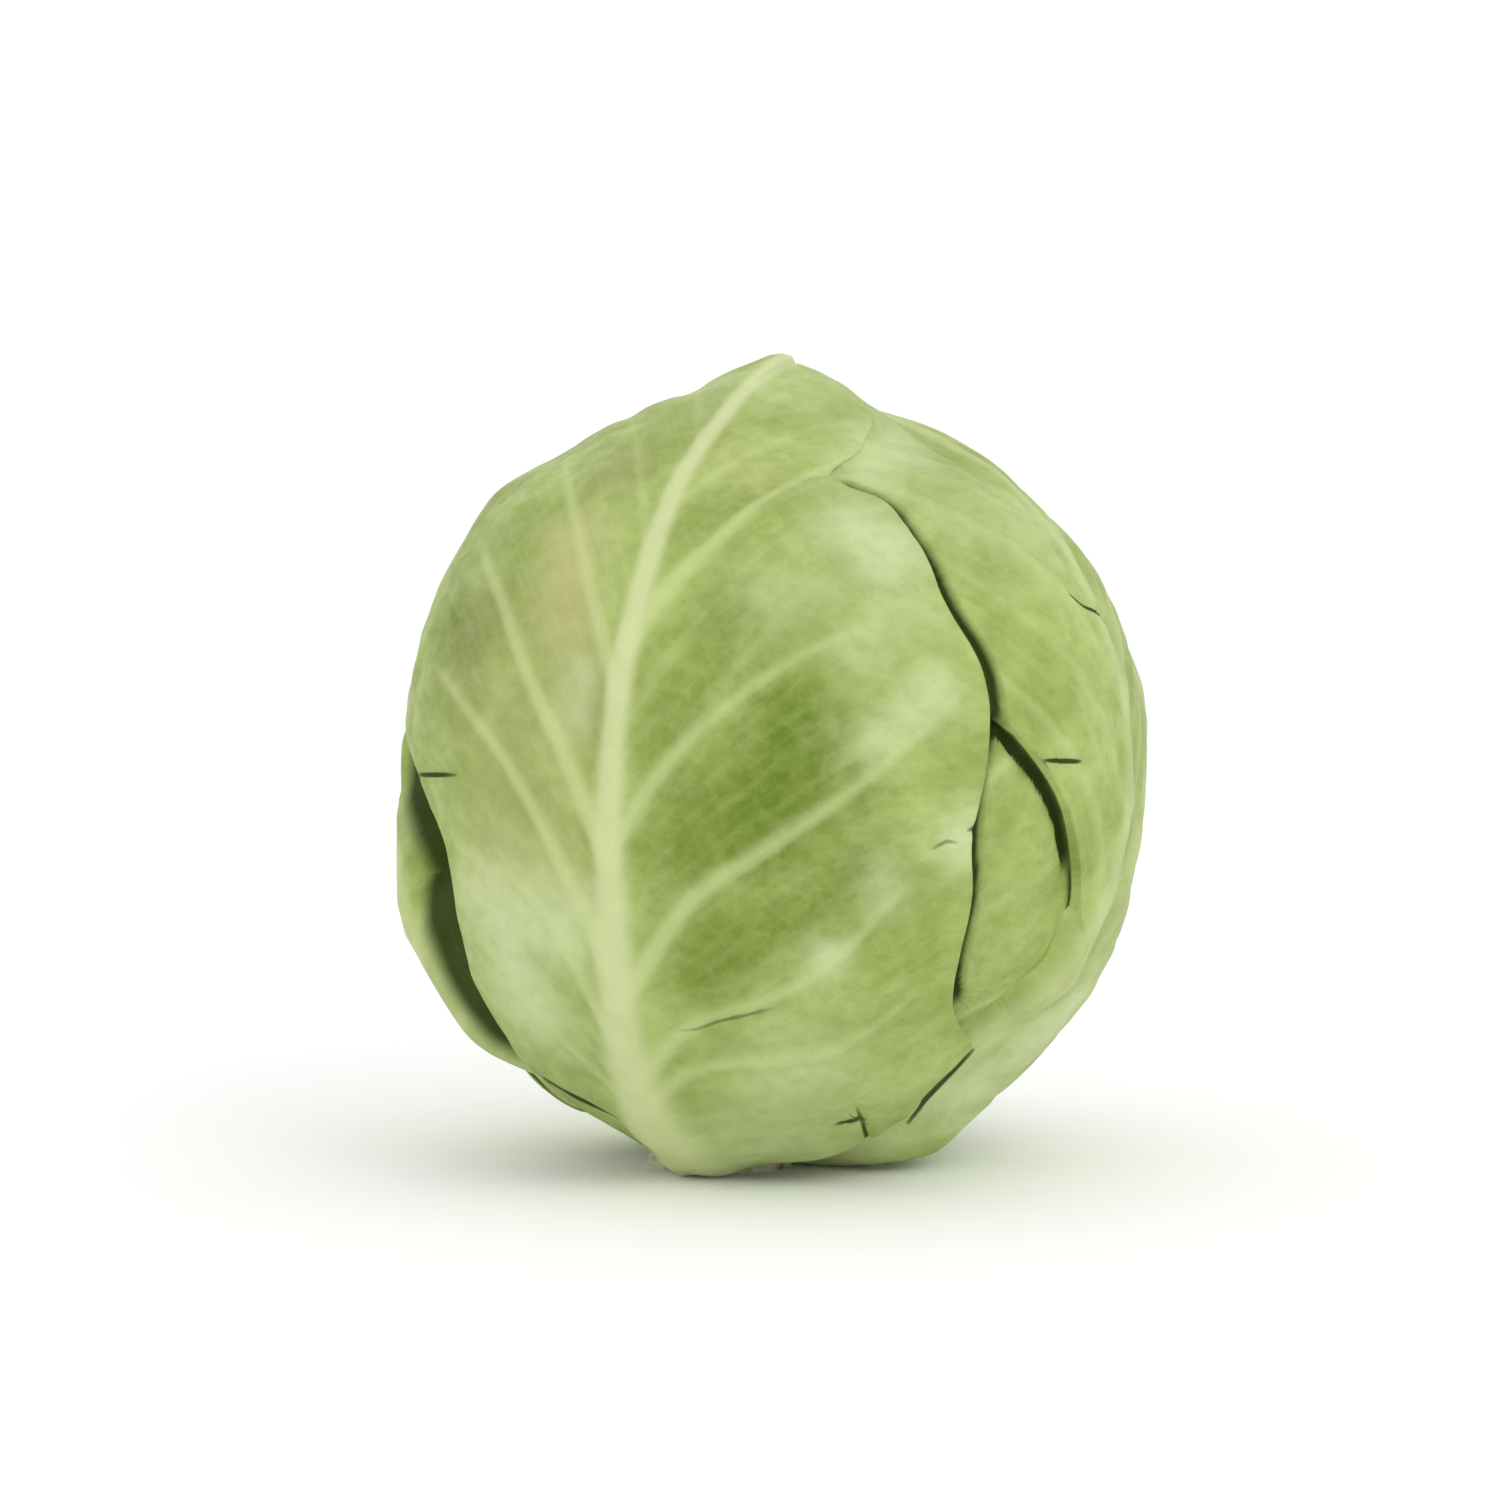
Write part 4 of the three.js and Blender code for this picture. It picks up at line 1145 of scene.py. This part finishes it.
def stalk_material():
    """A cut stalk: pale pith, a ring of veins, browned patches, most of all at the rim, and a rough skin."""
    s = Shader("stalk_look")
    place = s.millimetres()
    ring, rim = s.attribute("ring")["Fac"], s.attribute("rim")["Fac"]
    veins = s.span(s.noise(place, STALK_RING_SCALE), *STALK_RING_RANGE)
    colour = s.wash(STALK_PALE, STALK_RING, veins, ring)
    browned = s.span(s.noise(place, STALK_BROWN_SCALE, 4.0), *STALK_BROWN_RANGE)
    colour = s.wash(colour, STALK_BROWN, browned, s.math("ADD", rim, STALK_BROWN_LEAST))
    roughness = s.span(s.noise(place, STALK_GLOSS_SCALE), *GLOSS_RANGE, *STALK_ROUGHNESS)
    return s.finish(colour, roughness, Normal=s.bump(s.noise(place, STALK_BUMP_SCALE, 4.0), *STALK_BUMP))


# ---- floor, light and camera ----
def build_floor():
    mesh = bpy.data.meshes.new("floor")
    size = FLOOR_HALF_SIZE
    corners = [(-size, -size, 0), (size, -size, 0), (size, size, 0), (-size, size, 0)]
    mesh.from_pydata(corners, [], [(0, 1, 2, 3)])
    floor = bpy.data.objects.new("floor", mesh)
    bpy.context.scene.collection.objects.link(floor)
    s = Shader("floor_white")
    mottle = s.noise(s.node("TexCoord").outputs["Object"], FLOOR_TONE_SCALE)
    floor.data.materials.append(s.finish(s.mix(mottle, FLOOR_WHITE, FLOOR_BRIGHT), FLOOR_ROUGHNESS))


def build_key_light():
    light = bpy.data.lights.new("key", "AREA")
    light.shape, light.size, light.energy = "DISK", KEY_SIZE, KEY_POWER
    made = bpy.data.objects.new("key", light)
    made.location = KEY_PLACE
    made.rotation_euler = (CAMERA_AIM - Vector(KEY_PLACE)).to_track_quat("-Z", "Y").to_euler()
    bpy.context.scene.collection.objects.link(made)


def build_world():
    world = bpy.data.worlds.new("studio")
    world.use_nodes = True
    background = world.node_tree.nodes["Background"].inputs
    background["Color"].default_value = (1, 1, 1, 1)
    background["Strength"].default_value = WORLD_STRENGTH
    bpy.context.scene.world = world


def build_camera():
    data = bpy.data.cameras.new("camera")
    data.angle = CAMERA_VIEW_ANGLE * RADIANS
    data.clip_start, data.clip_end = 0.01, 100
    camera = bpy.data.objects.new("camera", data)
    tilt = CAMERA_ELEVATION * RADIANS
    back = Vector((0, -math.cos(tilt), math.sin(tilt)))
    camera.location = CAMERA_AIM + back * CAMERA_DISTANCE
    camera.rotation_euler = (-back).to_track_quat("-Z", "Y").to_euler()
    bpy.context.scene.collection.objects.link(camera)
    bpy.context.scene.camera = camera


# ---- the scene ----
def place_piece(piece, look, node):
    piece.data.materials.append(look)
    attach(piece, "root")
    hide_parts(node)


for leaf in wrappers:
    place_piece(build_leaf(leaf), leaf_material(leaf), leaf["name"])
place_piece(build_heart(), heart_material(), "heart")
place_piece(build_stalk(), stalk_material(), "stalk")

build_floor()
build_world()
build_key_light()
build_camera()
bpy.context.scene.view_settings.view_transform = "Standard"
